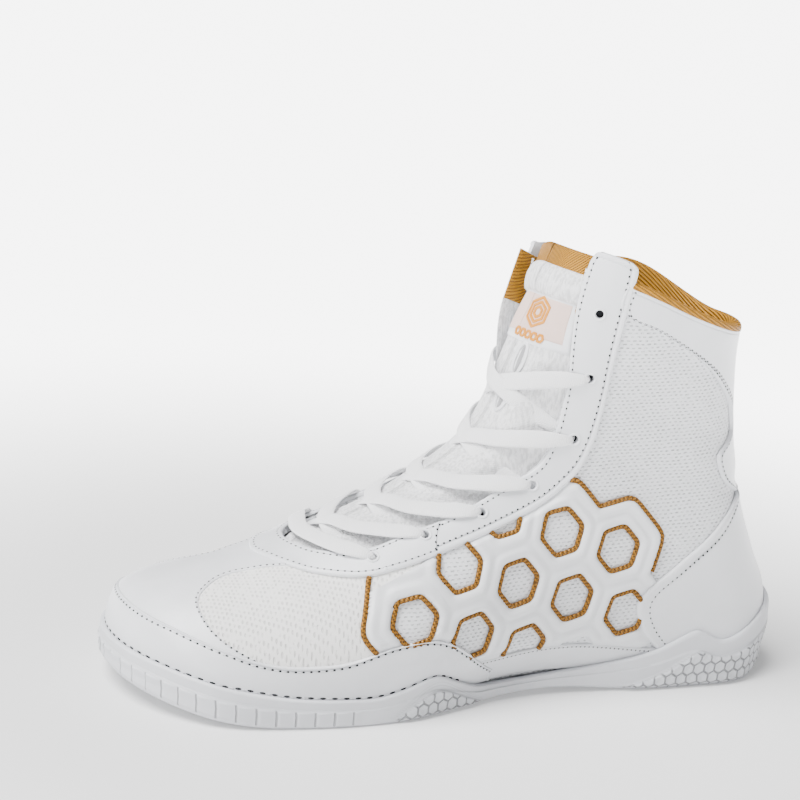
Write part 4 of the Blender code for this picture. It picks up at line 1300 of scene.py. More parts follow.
@dataclass
class Upper(Fitted):
    """Knit shell with its eyelets, its mesh vamp and its lining."""

    cage: "Cage"
    columns: int = 232
    rows: int = 70
    throat: float = 0.275
    front_stay: float = 0.37
    hole: float = 0.0016
    vamp_end: float = 0.455
    under_cap: float = 0.02
    over_cage: float = 4.0 * MM
    vamp_soft: float = 1.5 * MM
    lined: tuple[float, float] = (0.12, 0.97)

    def opening(self, rises: Array) -> Array:
        """Half opening of the throat."""
        curve = spline(THROAT, 6)
        return np.interp(rises, curve[:, 0], curve[:, 1])

    def grid(self) -> tuple[Array, Array, Array]:
        """Rises, turns and the cells that are cloth."""
        above = np.linspace(self.throat, 1.0, self.rows + 1)[1:]
        rises = np.concatenate([np.linspace(0.0, self.throat, self.rows), above])
        front = self.columns // 8
        opening = self.opening(rises)[:, None]
        inner = np.linspace(0, 1, front + 1)[None, :] * opening
        outer = opening + (1 - opening) * np.linspace(0, 1, self.columns // 2 + 1 - front)[None, 1:]
        side = np.hstack([inner, outer])
        reach = 1 - (1 - self.layers.medial) * (1 - side)
        turns = np.hstack([-side[:, ::-1], (side * reach)[:, 1:-1]])
        keep = np.ones(turns.shape, bool)
        middle = side.shape[1] - 1
        keep[self.rows - 1:, middle - front:middle + front] = False
        return np.repeat(rises[:, None], turns.shape[1], 1), turns, keep

    def eyelets(self) -> Iterator[tuple[float, float, Array, Array]]:
        """Rise, turn, normal and a way across it, for every eyelet."""
        for side in Side:
            for turn, rise in EYELETS:
                at = self.layers.reach(side) * turn
                up = self.last.normal(rise, at)
                yield rise, at, up, np.cross(up, (0.3, 0.9, 0.2))

    def plugs(self, low: float, high: float, radius: float, steps: int) -> Mesh:
        """Short cylinder in every eyelet.

        Args:
            low: Its start, in millimetres out of the last.
            high: Its end.
            radius: Its radius.
            steps: Points along it.

        Returns:
            All of them as one mesh.
        """
        span = np.linspace(low, high, steps)[:, None] * MM
        plugs = [sweep(self.last.skin(rise, at) + span * up, np.tile(across, (steps, 1)), radius, radius, 20)
                 for rise, at, up, across in self.eyelets()]
        return merged(plugs)

    def pins(self) -> Mesh:
        """Cylinders that cut the eyelets."""
        return self.plugs(-5, 5, self.hole, 3)

    def rims(self, count: int = 28) -> Mesh:
        """Faint rims round the eyelets.

        Args:
            count: Points round each.

        Returns:
            All of them as one mesh.
        """
        rims = []
        angle = circle(count)[:, None]
        for rise, at, up, across in self.eyelets():
            first = unit(across)
            ring = first * np.cos(angle) + np.cross(up, first) * np.sin(angle)
            top = 1.6 * MM if rise > self.front_stay else 2.0 * MM
            path = self.last.skin(rise, at, top) + ring * (self.hole + 0.55 * MM)
            rims.append(sweep(path, np.tile(up, (count, 1)), 0.5 * MM, 0.28 * MM, 8, 2.0, True))
        return merged(rims)

    def vamp(self, count: int = 45) -> None:
        """Pinhole mesh over the toes.

        Args:
            count: Points from the toe cap to the eyelet stay.
        """
        half = [(rise - self.under_cap, turn) for turn, rise in TOE_CAP]
        cap = spline([(rise, -turn) for rise, turn in half[::-1]] + half[1:], 13)
        cap = cap[np.abs(cap[:, 1]) < self.vamp_end]
        edge = spline(VAMP_TOP, 30)
        top = np.interp(np.abs(cap[:, 1:]), edge[:, 1], edge[:, 0])
        share = np.linspace(0, 1, count)[None, :]
        rises = cap[:, :1] * (1 - share) + top * share
        turns = np.repeat(cap[:, 1:], count, 1)
        near = ease(from_edge(self.last.skin(rises, turns)) / self.vamp_soft)
        outer = self.last.skin(rises, turns, self.layers.thin * 0.7 * near + 0.0001)
        inner = self.last.skin(rises, turns, -0.0005)
        keep = self.cage.inside_rim(self.last.bare(rises, turns)[..., [0, 2]]) < self.over_cage
        self.rack.piece("vamp_mesh", shell(outer, inner, outer[..., [1, 0]] / MM, keep=keep), VAMP_MESH)

    def lining(self, count: int = 110) -> None:
        """Soft lining on the inside of the shaft.

        Args:
            count: Points round the shaft.
        """
        rises = np.linspace(*self.lined, 60)[:, None]
        opening = self.opening(rises) + 0.012
        start, end = -opening, -2 + opening * self.layers.medial
        turns = start + (end - start) * np.linspace(0, 1, count)[None, :]
        outs = (-self.layers.wall - 0.0002, -self.layers.wall - 0.0006)
        mesh = self.last.layer(np.repeat(rises, count, 1), turns, *outs)
        self.rack.cut(self.rack.piece("lining", mesh, LINING_KNIT), self.pins())

    def build(self) -> None:
        """Makes the eyelets with painted shade down in them, the shell, the vamp and the lining."""
        self.rack.piece("eyelet_rims", self.rims(), EDGE_LEATHER)
        # Painted shade: a near-black disc down in each eyelet, for its shadowed inside.
        self.rack.piece("eyelet_wells", self.plugs(-2.9, -2.4, self.hole * 1.05, 2), HOLE_SHADE)
        rises, turns, keep = self.grid()
        outer, inner = [self.last.skin(rises, turns, out) for out in (0.0, -self.layers.wall)]
        mesh = shell(outer, inner, outer[..., [0, 2]] / MM, True, keep)
        self.rack.cut(self.rack.piece("knit_upper", mesh, SIDE_KNIT, ["upper"]), self.pins())
        self.vamp()
        self.lining()


EDGE_STEPS = np.array((0.0, 0.15, 0.35, 0.6, 0.9, 1.25, 1.7, 2.1, 2.5, 2.7, 2.95, 3.3)) * MM


def spaced(width: Array | float, count: int) -> Array:
    """Positions from 0 to a width, close together at both ends.

    Args:
        width: Width of each row.
        count: Positions between the ends.

    Returns:
        One row of positions for each width.
    """
    width = np.atleast_1d(width)[:, None]
    edge = EDGE_STEPS[None] * np.minimum(1, 0.35 * width / EDGE_STEPS[-1])
    share = np.linspace(0, 1, count + 2)[None, 1:-1]
    inner = edge[:, -1:] + (width - 2 * edge[:, -1:]) * share
    return np.hstack([edge, inner, (width - edge)[:, ::-1]])


@dataclass
class Panel:
    """Leather panel between two edges on the last, with rounded borders."""

    last: Last
    name: str
    rows: Array
    base: float = 0.3 * MM
    thick: float = 1.2 * MM
    soft: float = 1.0 * MM
    pitch: float = 1.7 * MM
    piping: tuple[float, float] = (0.0, 0.0)
    stands_for: tuple[str, ...] = ()

    @cached_property
    def grid(self) -> tuple[Array, Array, Array, Array]:
        """Rises, turns, and distances from the two long edges."""
        first = self.last.skin(self.rows[:, 0], self.rows[:, 1])
        second = self.last.skin(self.rows[:, 2], self.rows[:, 3])
        run = arc_length((first + second) / 2)
        at = spaced(run[-1], round(run[-1] / self.pitch))[0]
        table = np.stack([np.interp(at, run, column) for column in self.rows.T], -1)
        share = np.linspace(0, 1, 25)[None, :, None]
        lines = table[:, None, :2] * (1 - share) + table[:, None, 2:] * share
        places = self.last.skin(lines[..., 0], lines[..., 1])
        steps = np.cumsum(np.linalg.norm(np.diff(places, axis=1), axis=-1), axis=1)
        steps = np.hstack([np.zeros((len(steps), 1)), steps])
        width = steps[:, -1]
        across = spaced(width, max(2, round(float(width.max()) / self.pitch)))
        shares = np.stack([np.interp(row, step, share[0, :, 0]) for row, step in zip(across, steps)])
        rises = table[:, :1] * (1 - shares) + table[:, 2:3] * shares
        turns = table[:, 1:2] * (1 - shares) + table[:, 3:4] * shares
        ends = np.minimum(at, run[-1] - at)[:, None] + 0 * across
        return rises, turns, np.stack([across, width[:, None] - across, ends])

    def height(self, gaps: Array) -> Array:
        """Distance out of the last for distances from the edges.

        Args:
            gaps: Distances from both edges and the ends.

        Returns:
            The distances out.
        """
        near = np.clip(gaps.min(axis=0) / self.soft, 0, 1)
        out = self.base + self.thick * (0.2 + 0.8 * np.sqrt(1 - (1 - near) ** 2))
        for gap, wide in zip(gaps, (*self.piping, max(self.piping))):
            if wide > 0:
                out = out + 0.35 * MM * np.sin(math.pi * np.clip(gap / wide, 0, 1))
                out = out - 0.3 * MM * np.exp(-(((gap - wide - 0.2 * MM) / (0.3 * MM)) ** 2))
        return out

    def build(self, rack: Rack) -> bpy.types.Object:
        """Makes the panel.

        Args:
            rack: Where the piece goes.

        Returns:
            The piece.
        """
        rises, turns, gaps = self.grid
        mesh = self.last.layer(rises, turns, self.height(gaps), self.base - 0.15 * MM)
        return rack.piece(self.name, mesh, WHITE_LEATHER, self.stands_for)

    def route(self, edge: int, offset: float, start: float = 0.0, end: float = 1.0) -> Array:
        """Rows of (rise, turn) at a distance inside one of the long edges.

        Args:
            edge: 0 for the first edge and 1 for the second.
            offset: Distance from it.
            start: Share of the edge's rows at which the route starts.
            end: Share at which it ends.

        Returns:
            The rows.
        """
        rises, turns, gaps = self.grid
        rows = []
        for rise, turn, gap in zip(rises, turns, gaps[edge]):
            order = np.argsort(gap)
            rows.append([np.interp(offset, gap[order], column[order]) for column in (rise, turn)])
        first, last = [round(share * (len(rows) - 1)) for share in (start, end)]
        return np.array(rows[first:last + 1])

    @property
    def top(self) -> float:
        """Distance of the panel's face out of the last."""
        return self.base + self.thick


@dataclass
class Overlays(Fitted):
    """Leather panels round the knit upper, and their seams."""

    seams: Seams
    upper: Upper
    foot: float = 0.01
    splice: float = 10.3

    def sew(self, panel: Panel, edge: int, inset: float, span: tuple[float, float],
            pitch: float = 2.4, lift: float = 0.0) -> None:
        """Seam along a long edge of a panel.

        Args:
            panel: The panel.
            edge: 0 for its first edge and 1 for its second.
            inset: Distance from the edge, in millimetres.
            span: Shares of the edge's rows at which the seam starts and ends.
            pitch: Distance between two stitches, in millimetres.
            lift: Distance over the panel's face, in millimetres.
        """
        self.seams.run(panel.route(edge, inset * MM, *span), panel.top + lift * MM, pitch * MM)

    def eyestays(self) -> None:
        """Eyelet stays of both sides and the piece that joins them over the vamp."""
        table = np.array(EYESTAY)[:, [1, 0, 3, 2]]
        ends, pins = [], self.upper.pins()
        for side in Side:
            reach = self.layers.reach(side)
            edges = spline(table * (1, reach, 1, reach))
            rows = self.between(edges, 0.0, self.splice + 1.2, self.splice + 0.4)
            panel = Panel(self.last, "eyestay_" + side.name.lower(), rows, piping=(2.5 * MM, 0.0))
            self.rack.cut(panel.build(self.rack), pins)
            self.sew(panel, 0, 3.3, (0.03, 0.97), 2.6)
            self.sew(panel, 1, 1.9, (0.03, 0.97), 2.6)
            ends.append(self.between(edges, self.splice, len(table), len(table), self.splice - 0.9))
        rows = np.vstack([ends[0], ends[1][::-1][1:]])
        panel = Panel(self.last, "eyestay_front", rows, 0.9 * MM, 1.0 * MM, stands_for=("eyestay",))
        self.rack.cut(panel.build(self.rack), pins)
        self.sew(panel, 0, 2.0, (0.01, 0.99), 2.6)
        self.sew(panel, 1, 1.9, (0.01, 0.99), 2.6)
        rises, turns, _ = panel.grid
        wide = slice(len(EDGE_STEPS) - 4, 4 - len(EDGE_STEPS))
        for row in (3, -4):
            self.seams.run(np.stack([rises[row, wide], turns[row, wide]], -1), panel.top, 2.6 * MM)

    def between(self, rows: Array, start: float, outer_end: float, inner_end: float,
                inner_start: float | None = None) -> Array:
        """Part of a table of two edges, whose ends may slant.

        Args:
            rows: Twelve rows of the smooth table for each row of the rough one.
            start: Row of the rough table where the outer edge starts.
            outer_end: Row where the outer edge ends.
            inner_end: Row where the inner edge ends.
            inner_start: Row where the inner edge starts, or the same as the outer one.

        Returns:
            The rows between.
        """
        place = np.arange(len(rows)) / 12
        share = np.linspace(0, 1, 160)
        inner_start = start if inner_start is None else inner_start
        outer, inner = start + (outer_end - start) * share, inner_start + (inner_end - inner_start) * share
        ats = (outer, outer, inner, inner)
        return np.stack([np.interp(at, place, column) for at, column in zip(ats, rows.T)], -1)

    def toe(self) -> None:
        """Toe cap and the strip that runs up the vamp."""
        half = spline([(rise, turn) for turn, rise in TOE_CAP], 8)
        top = np.vstack([half[::-1] * (1, -1), half[1:]])
        rows = np.column_stack([np.full(len(top), self.foot), top[:, 1], top])
        cap = Panel(self.last, "toe_cap_leather", rows, soft=0.7 * MM, pitch=2.2 * MM,
                    piping=(0.0, 1.2 * MM), stands_for=("toe_cap",))
        cap.build(self.rack)
        self.sew(cap, 1, 1.8, (0.02, 0.98), 2.9)
        wall = [(self.foot_stitch(turn), turn) for turn in np.linspace(-0.46, 0.46, 120)]
        self.seams.run(np.array(wall), cap.top + 0.1 * MM, 4.6 * MM, 2.2)
        edge = spline(VAMP_STRIP)
        rows = np.column_stack([edge[:, 0], -edge[:, 1], edge])
        strip = Panel(self.last, "vamp_strip", rows, thick=0.9 * MM, soft=0.7 * MM)
        strip.build(self.rack)
        for number in (0, 1):
            self.sew(strip, number, 1.1, (0.05, 0.97))

    def foot_stitch(self, turn: float) -> float:
        """Rise of the stitches just over the sole's rim."""
        x = float(self.last.bare(0.05, turn)[0])
        return float(self.last.rise_of(x, self.last.wall_line(x) + 0.6 * MM))

    def round_heel(self, name: str, table: Sequence, base: float, piping: float,
                   node: str) -> Panel:
        """Panel in one piece round the heel.

        Args:
             name: Its name.
            table: Rise and turn along its front edge.
            base: Distance of its back out of the last.
            piping: Width of its raised edges.
            node: Node that it replaces.

        Returns:
            The panel.
        """
        rows = spline(table, 8)
        rows = np.column_stack([rows[:, 0], -rows[:, 1], rows[:, 0], rows[:, 1] - 2])
        panel = Panel(self.last, name, rows, base, pitch=2.5 * MM, piping=(piping, piping),
                      stands_for=(node,))
        panel.build(self.rack)
        return panel

    def back(self) -> None:
        """Heel counter and collar panel."""
        counter = self.round_heel("counter_leather", COUNTER, 0.3 * MM, 4.6 * MM, "heel_counter")
        collar = self.round_heel("collar_leather", COLLAR_PANEL, 0.35 * MM, 1.4 * MM, "collar_panel")
        for edge in (0, 1):
            self.sew(counter, edge, 2.0, (0.08, 0.93), lift=0.2)
            self.sew(counter, edge, 5.6, (0.08, 0.93))
            self.sew(collar, edge, 2.2, (0.05, 0.93))
            self.sew(collar, edge, 4.0, (0.42, 0.93))

    def waist(self) -> None:
        """Low bands between the toe cap and the counter."""
        rows = spline(WAIST, 8)
        for side in Side:
            turns = side.value * rows[:, 0]
            edges = np.column_stack([np.full(len(rows), self.foot), turns, rows[:, 1], turns])
            name = side.name.lower()
            strap = Panel(self.last, "waist_" + name, edges, 0.2 * MM, 0.9 * MM,
                          stands_for=("waist_band_" + name,))
            strap.build(self.rack)
            self.sew(strap, 1, 1.2, (0.1, 0.9), 2.0)

    def build(self) -> None:
        """Makes every panel."""
        self.waist()
        self.toe()
        self.back()
        self.eyestays()


CAGE_CELLS = ((-1, 0), (0, 0), (1, 0), (-1, -1), (0, -1), (1, -1), (-1, 1), (0, 1), (1, 1), (2, 0))


@dataclass
class Cage(Fitted):
    """Padded honeycomb over the waist, with a gold cord along every edge."""

    pitch: float = 27.0 * MM
    rib: float = 9.5 * MM
    tilt: float = math.radians(17)
    middle: tuple[float, float] = (0.52, 0.33)
    turns: tuple[float, float] = (0.262, 0.83)
    rises: tuple[float, float] = (0.05, 0.535)
    puff: float = 2.2 * MM
    cord: float = 1.05 * MM
    corner: float = 14.0
    shortest: float = 13.0 * MM
    soft: float = 3.0 * MM
    girth: float = 0.13
    foot_rise: float = 0.083

    def centre(self, cell: tuple[int, int]) -> Array:
        """Middle of a cell in side view.

        Args:
            cell: Column and row of the cell.

        Returns:
            Its middle.
        """
        column, row = cell
        x = self.pitch * (column + row / 2)
        z = self.pitch * row * math.sqrt(3) / 2
        cos, sin = math.cos(self.tilt), math.sin(self.tilt)
        start = np.array(self.middle) * (self.last.length, self.last.collar)
        return start + (x * cos + z * sin, z * cos - x * sin)

    def reach(self, way: Array) -> Array:
        """Length of a way from a cell's middle, measured against its flat sides.

        Args:
            way: The way, in side view.

        Returns:
            The length.
        """
        total = 0.0
        for k in range(3):
            angle = k * math.pi / 3 - self.tilt
            along = np.abs(way[..., 0] * math.cos(angle) + way[..., 1] * math.sin(angle))
            total = total + along**self.corner
        return total ** (1 / self.corner)

    def reaches(self, place: Array, cells: Iterable = CAGE_CELLS) -> Array:
        """Lengths from the middles of cells to a place in side view."""
        return np.stack([self.reach(place - self.centre(cell)) for cell in cells])

    def inside_rim(self, place: Array) -> Array:
        """How far inside the cage's outer edge a place in side view lies."""
        return ((self.pitch + self.rib) / 2 - self.reaches(place)).max(axis=0)

    def depth(self, place: Array) -> Array:
        """How far inside the leather a place in side view lies."""
        window = (self.reaches(place) - (self.pitch - self.rib) / 2).min(axis=0)
        return np.minimum(window, self.inside_rim(place))

    def margin(self, rise: Array, turn: Array, side: Side) -> Array:
        """How far places lie clear of the panels round the cage.

        Args:
            rise: Rises of the places.
            turn: Turns of the places.
            side: Side of the foot.

        Returns:
            The distances, below zero under a panel.
        """
        stay = spline(np.array(EYESTAY)[:, :2], 4)[::-1]
        reach = abs(self.layers.reach(side))
        turn = np.abs(turn)
        from_stay = (turn - reach * np.interp(rise, stay[:, 1], stay[:, 0])) * self.girth
        foot = np.interp(turn, *np.array(TOE_CAP).T)
        foot = np.where(turn > 0.463, self.foot_rise, foot)
        from_foot = (rise - foot) * self.last.collar
        counter = spline(COUNTER, 4)
        from_back = (np.interp(rise, counter[:, 0], counter[:, 1]) - turn) * self.girth * 1.3
        return np.minimum(np.minimum(from_stay, from_foot), from_back)

    def sheet(self, side: Side) -> None:
        """Leather of one side.

        Args:
            side: The side.
        """
        rises, turns = np.linspace(*self.rises, 124), np.linspace(*self.turns, 190)
        turn, rise = np.meshgrid(turns * side.value, rises)
        depth = self.depth(self.last.bare(rise, turn)[..., [0, 2]])
        near = np.clip(depth / self.soft, 0, 1)
        out = 0.5 * MM + self.puff * (np.sqrt(1 - (1 - near) ** 2) - 0.32 * ease((depth / MM - 2.6) / 2.0))
        out = np.where(depth > 0, out, -1.0 * MM)
        margin = self.margin(rise, turn, side) / MM
        out = np.where(out > 0, 0.7 * MM + (out - 0.7 * MM) * ease((margin + 0.3) / 3.5), out)
        out = np.where(margin < -4.0, -1.0 * MM, out)
        keep = depth > -1.2 * MM
        mesh = self.last.layer(rise, turn, out, -1.5 * MM, keep[:-1, :-1] | keep[1:, 1:])
        name = side.name.lower()
        self.rack.piece("cage_leather_" + name, mesh, EDGE_LEATHER, ("cage_" + name,), 60.0)

    def outline(self, cell: tuple[int, int], half: float) -> Array:
        """Closed line round a cell in side view.

        Args:
            cell: Column and row of the cell.
            half: Half the line's width across flats.

        Returns:
            The points.
        """
        angle = circle(360)
        way = np.stack([np.cos(angle), np.sin(angle)], -1)
        return self.centre(cell) + way * (half / self.reach(way))[:, None]

    def runs(self, line: Array, shown: Array) -> list[tuple[Array, bool]]:
        """Parts of a closed line that show.

        Args:
            line: Points of the line.
            shown: Whether each of them shows.

        Returns:
            The parts, each with whether it is still closed.
        """
        if shown.all():
            return [(line, True)]
        start = int(np.argmin(shown))
        line, shown = np.roll(line, -start, 0), np.roll(shown, -start)
        bounds = np.flatnonzero(np.diff(shown, prepend=False, append=False))
        return [(line[a:b], False) for a, b in zip(bounds[::2], bounds[1::2]) if b - a > 8]

    def cords(self, side: Side) -> None:
        """Gold cords of one side.

        Args:
            side: The side.
        """
        window, rim = (self.pitch - self.rib) / 2, (self.pitch + self.rib) / 2
        meshes = []
        for cell in CAGE_CELLS:
            for half in (window - 0.45 * MM, rim + 0.45 * MM):
                line = self.outline(cell, half)
                rise, turn = self.last.from_side(line[:, 0], line[:, 1], side)
                shown = self.margin(rise, turn, side) > -0.4 * MM
                shown &= (rise > self.rises[0]) & (rise < self.rises[1]) & (np.abs(turn) > 0.2)
                if half > self.pitch / 2:
                    others = self.reaches(line, [other for other in CAGE_CELLS if other != cell])
                    shown &= others.min(axis=0) > half - 0.05 * MM
                for rows, closed in self.runs(np.column_stack([rise, turn]), shown):
                    if arc_length(self.last.on(rows))[-1] > self.shortest:
                        meshes.append(self.one_cord(rows, closed))
        self.rack.piece("cage_cords_" + side.name.lower(), merged(meshes), GOLD_CORD)

    def one_cord(self, rows: Array, closed: bool) -> Mesh:
        """Cord along rows of (rise, turn), which may be a loop.

        Args:
            rows: Rise and turn along it.
            closed: Whether it is a loop.

        Returns:
            The mesh.
        """
        if closed:
            rows = np.vstack([rows, rows[:1]])
        rows = resample(rows, self.last.on(rows), 0.8 * MM, closed)
        path = self.last.on(rows, 0.95 * MM)
        return sweep(path, self.last.up(rows), self.cord, self.cord * 0.8, 10, 2.3, closed)

    def build(self) -> None:
        """Makes the leather and the cords of both sides."""
        for side in Side:
            self.sheet(side)
            self.cords(side)


def hexagon(radius: float, turn: float) -> Array:
    """Corners of a hexagon, by its radius in millimetres and its turn in degrees."""
    angle = np.radians(np.arange(6) * 60 + turn)
    return np.column_stack([np.sin(angle), np.cos(angle)]) * radius * MM


@dataclass
class Tongue(Fitted):
    """Padded tongue with a gold top, a folded band, a label and two lace keepers."""

    upper: Upper
    low: float = 0.238
    top: float = 1.022
    overlap: float = 0.07
    thick: float = 3.0 * MM
    crown: float = 0.86
    sink: float = 4.5 * MM
    end: float = 0.02
    emblem: tuple[float, float] = (0.862, -0.052)
    ring_radii: tuple[float, ...] = (6.2, 4.2, 2.2)
    beads: int = 5
    bead_pitch: float = 3.5 * MM
    keeper_places: tuple[tuple[float, float, float], ...] = ((0.742, -0.055, 0.04), (0.64, -0.045, 0.03))

    def turns(self, rise: Array, share: Array) -> Array:
        """Turns for shares of the tongue's half width, from -1 to 1.

        Args:
            rise: Rises of the places.
            share: Shares of the half width.

        Returns:
            The turns.
        """
        turn = share * (self.upper.opening(rise) + self.overlap)
        medial = self.layers.medial * (1 - 0.55 * ease((rise - 0.8) / 0.12))
        return np.where(turn > 0, turn * medial, turn)

    def face(self, rise: Array, turn: Array) -> Array:
        """Distance of the tongue's face out of the last.

        Args:
            rise: Rises of the places.
            turn: Turns of the places.

        Returns:
            The distances.
        """
        wide = self.upper.opening(rise) * np.where(turn > 0, self.layers.medial, 1)
        under = -(self.layers.wall + 4 * self.layers.gap)
        crown = ease((self.crown - np.abs(turn) / wide) / 0.45) * ease((rise - 0.262) / 0.035)
        puff = 1.0 * MM * np.clip(1 - (turn / wide) ** 2, 0, 1) * ease((rise - 0.35) / 0.1)
        puff = puff - self.sink * ease((rise - 0.62) / 0.3)
        return np.minimum(under * (1 - crown) + puff * crown, puff)

    def pad(self) -> None:
        """The tongue's body."""
        bend = np.sin(np.linspace(0, math.pi / 2, 6)[1:])
        start = self.top - self.end
        rises = np.concatenate([np.linspace(self.low, start, 105), start + self.end * bend])
        rise = np.repeat(rises[:, None], 61, 1)
        turn = self.turns(rise, np.linspace(-1, 1, 61)[None, :])
        face = self.face(rise, turn)
        dip = self.thick * 0.45 * (1 - np.sqrt(1 - np.clip((rise - start) / self.end, 0, 1) ** 2))
        mesh = self.last.layer(rise, turn, face - dip, face - self.thick + dip)
        self.rack.piece("tongue_pad", mesh, TONGUE_KNIT, ("tongue",))

    def strip(self, name: str, rises: tuple[float, float], shares: tuple[float, float],
              thick: float, finish: Finish, soft: float = 1.2 * MM, bulge: float = 0.0,
              stands_for: tuple[str, ...] = ()) -> None:
        """Flat band sewn to the tongue's face.

        Args:
             name: Its name.
            rises: Lower and upper edge.
            shares: Lateral and medial edge, in shares of the tongue's half width.
            thick: Its thickness.
            finish: Its finish.
            soft: Width of its rounded edge.
            bulge: Extra height in the middle between its long edges.
            stands_for: Nodes that it replaces.
        """
        rise = np.repeat(np.linspace(*rises, 24)[:, None], 60, 1)
        turn = self.turns(rise, np.linspace(*shares, 60)[None, :])
        near = np.clip(from_edge(self.last.skin(rise, turn)) / soft, 0, 1)
        lobe = np.sin(math.pi * np.linspace(0, 1, 24))[:, None]
        face = self.face(rise, turn)
        out = face + thick * (0.15 + 0.85 * np.sqrt(1 - (1 - near) ** 2)) + bulge * lobe
        self.rack.piece(name, self.last.layer(rise, turn, out, face - 0.5 * MM), finish, stands_for)

    def motif(self) -> None:
        """Plain hexagon emblem on the label, of nested rings over a bar of beads."""
        centre, at, step = np.array(self.emblem), np.array((0.862, -0.045)), 0.01
        ends = [self.last.on(at + way * step * np.eye(2)) for way in (1, -1)]
        scale = np.linalg.norm(ends[0] - ends[1], axis=-1) / (2 * step)
        meshes = []
        for radius in self.ring_radii:
            meshes.append(self.thread(centre + hexagon(radius, 30) / scale, 0.62 * MM))
        for k in range(self.beads):
            bead = hexagon(1.5, 0) + (-9.6 * MM, (k - self.beads // 2) * self.bead_pitch)
            meshes.append(self.thread(centre + bead / scale, 0.55 * MM))
        self.rack.piece("label_motif", merged(meshes), LABEL_MARK)

    def over_face(self, rows: Array, lift: float) -> Array:
        """Places of rows of (rise, turn), at a distance over the tongue's face."""
        return self.last.on(rows, self.face(rows[:, 0], rows[:, 1]) + lift)

    def thread(self, corners: Array, half: float, lift: float = 0.9 * MM) -> Mesh:
        """Closed raised line on the tongue's face.

        Args:
            corners: Rise and turn of its corners.
            half: Half its width.
            lift: Distance of its middle over the face.

        Returns:
            The mesh.
        """
        closed = np.vstack([corners, corners[:1]])
        share = np.linspace(0, len(corners), 12 * len(corners) + 1)[:-1]
        rows = np.column_stack([np.interp(share, np.arange(len(closed)), column) for column in closed.T])
        return sweep(self.over_face(rows, lift), self.last.up(rows), half, 0.35 * MM, 8, 3.0, True)

    def keepers(self) -> None:
        """Rims of the two lace keepers, and the painted shade in their slots."""
        rims, slot_shades = [], []
        angle = circle(39)
        share = np.linspace(-1, 1, 16)
        for rise, turn, tall in self.keeper_places:
            corners = np.column_stack([rise + tall * np.sin(angle), turn + 0.022 * np.cos(angle)])
            rims.append(self.thread(corners, 0.8 * MM, 0.3 * MM))
            line = np.column_stack([rise + share * tall * 0.85, np.full(16, turn)])
            wide = 1.1 * MM * np.sqrt(1 - share**2 * 0.98)
            # Painted shade of the slot's opening.
            slot_shades.append(sweep(self.over_face(line, 0.05 * MM), self.last.up(line), wide, 0.3 * MM, 10))
        self.rack.piece("keeper_rims", merged(rims), EDGE_LEATHER)
        self.rack.piece("keeper_slots", merged(slot_shades), KEEPER_SLOT_SHADE)

    def build(self) -> None:
        """Makes the tongue and what is sewn to it."""
        self.pad()
        self.strip("tongue_top", (0.975, 1.034), (-0.99, 0.99), 1.0 * MM, GOLD_WEBBING, 1.8 * MM)
        self.strip("tongue_side", (0.88, 0.99), (-0.99, -0.66), 0.7 * MM, GOLD_WEBBING, 1.0 * MM)
        self.strip("tongue_band", (0.905, 0.985), (-0.76, 0.97), 1.6 * MM, TONGUE_KNIT, 2.5 * MM,
                   1.4 * MM)
        self.strip("tongue_patch", (0.782, 0.925), (-0.74, 0.62), 0.7 * MM, EDGE_LEATHER)
        self.strip("label_cloth", (0.8, 0.905), (-0.66, 0.5), 0.9 * MM, LABEL_CLOTH, 0.6 * MM,
                   stands_for=("tongue_label",))
        self.motif()
        self.keepers()


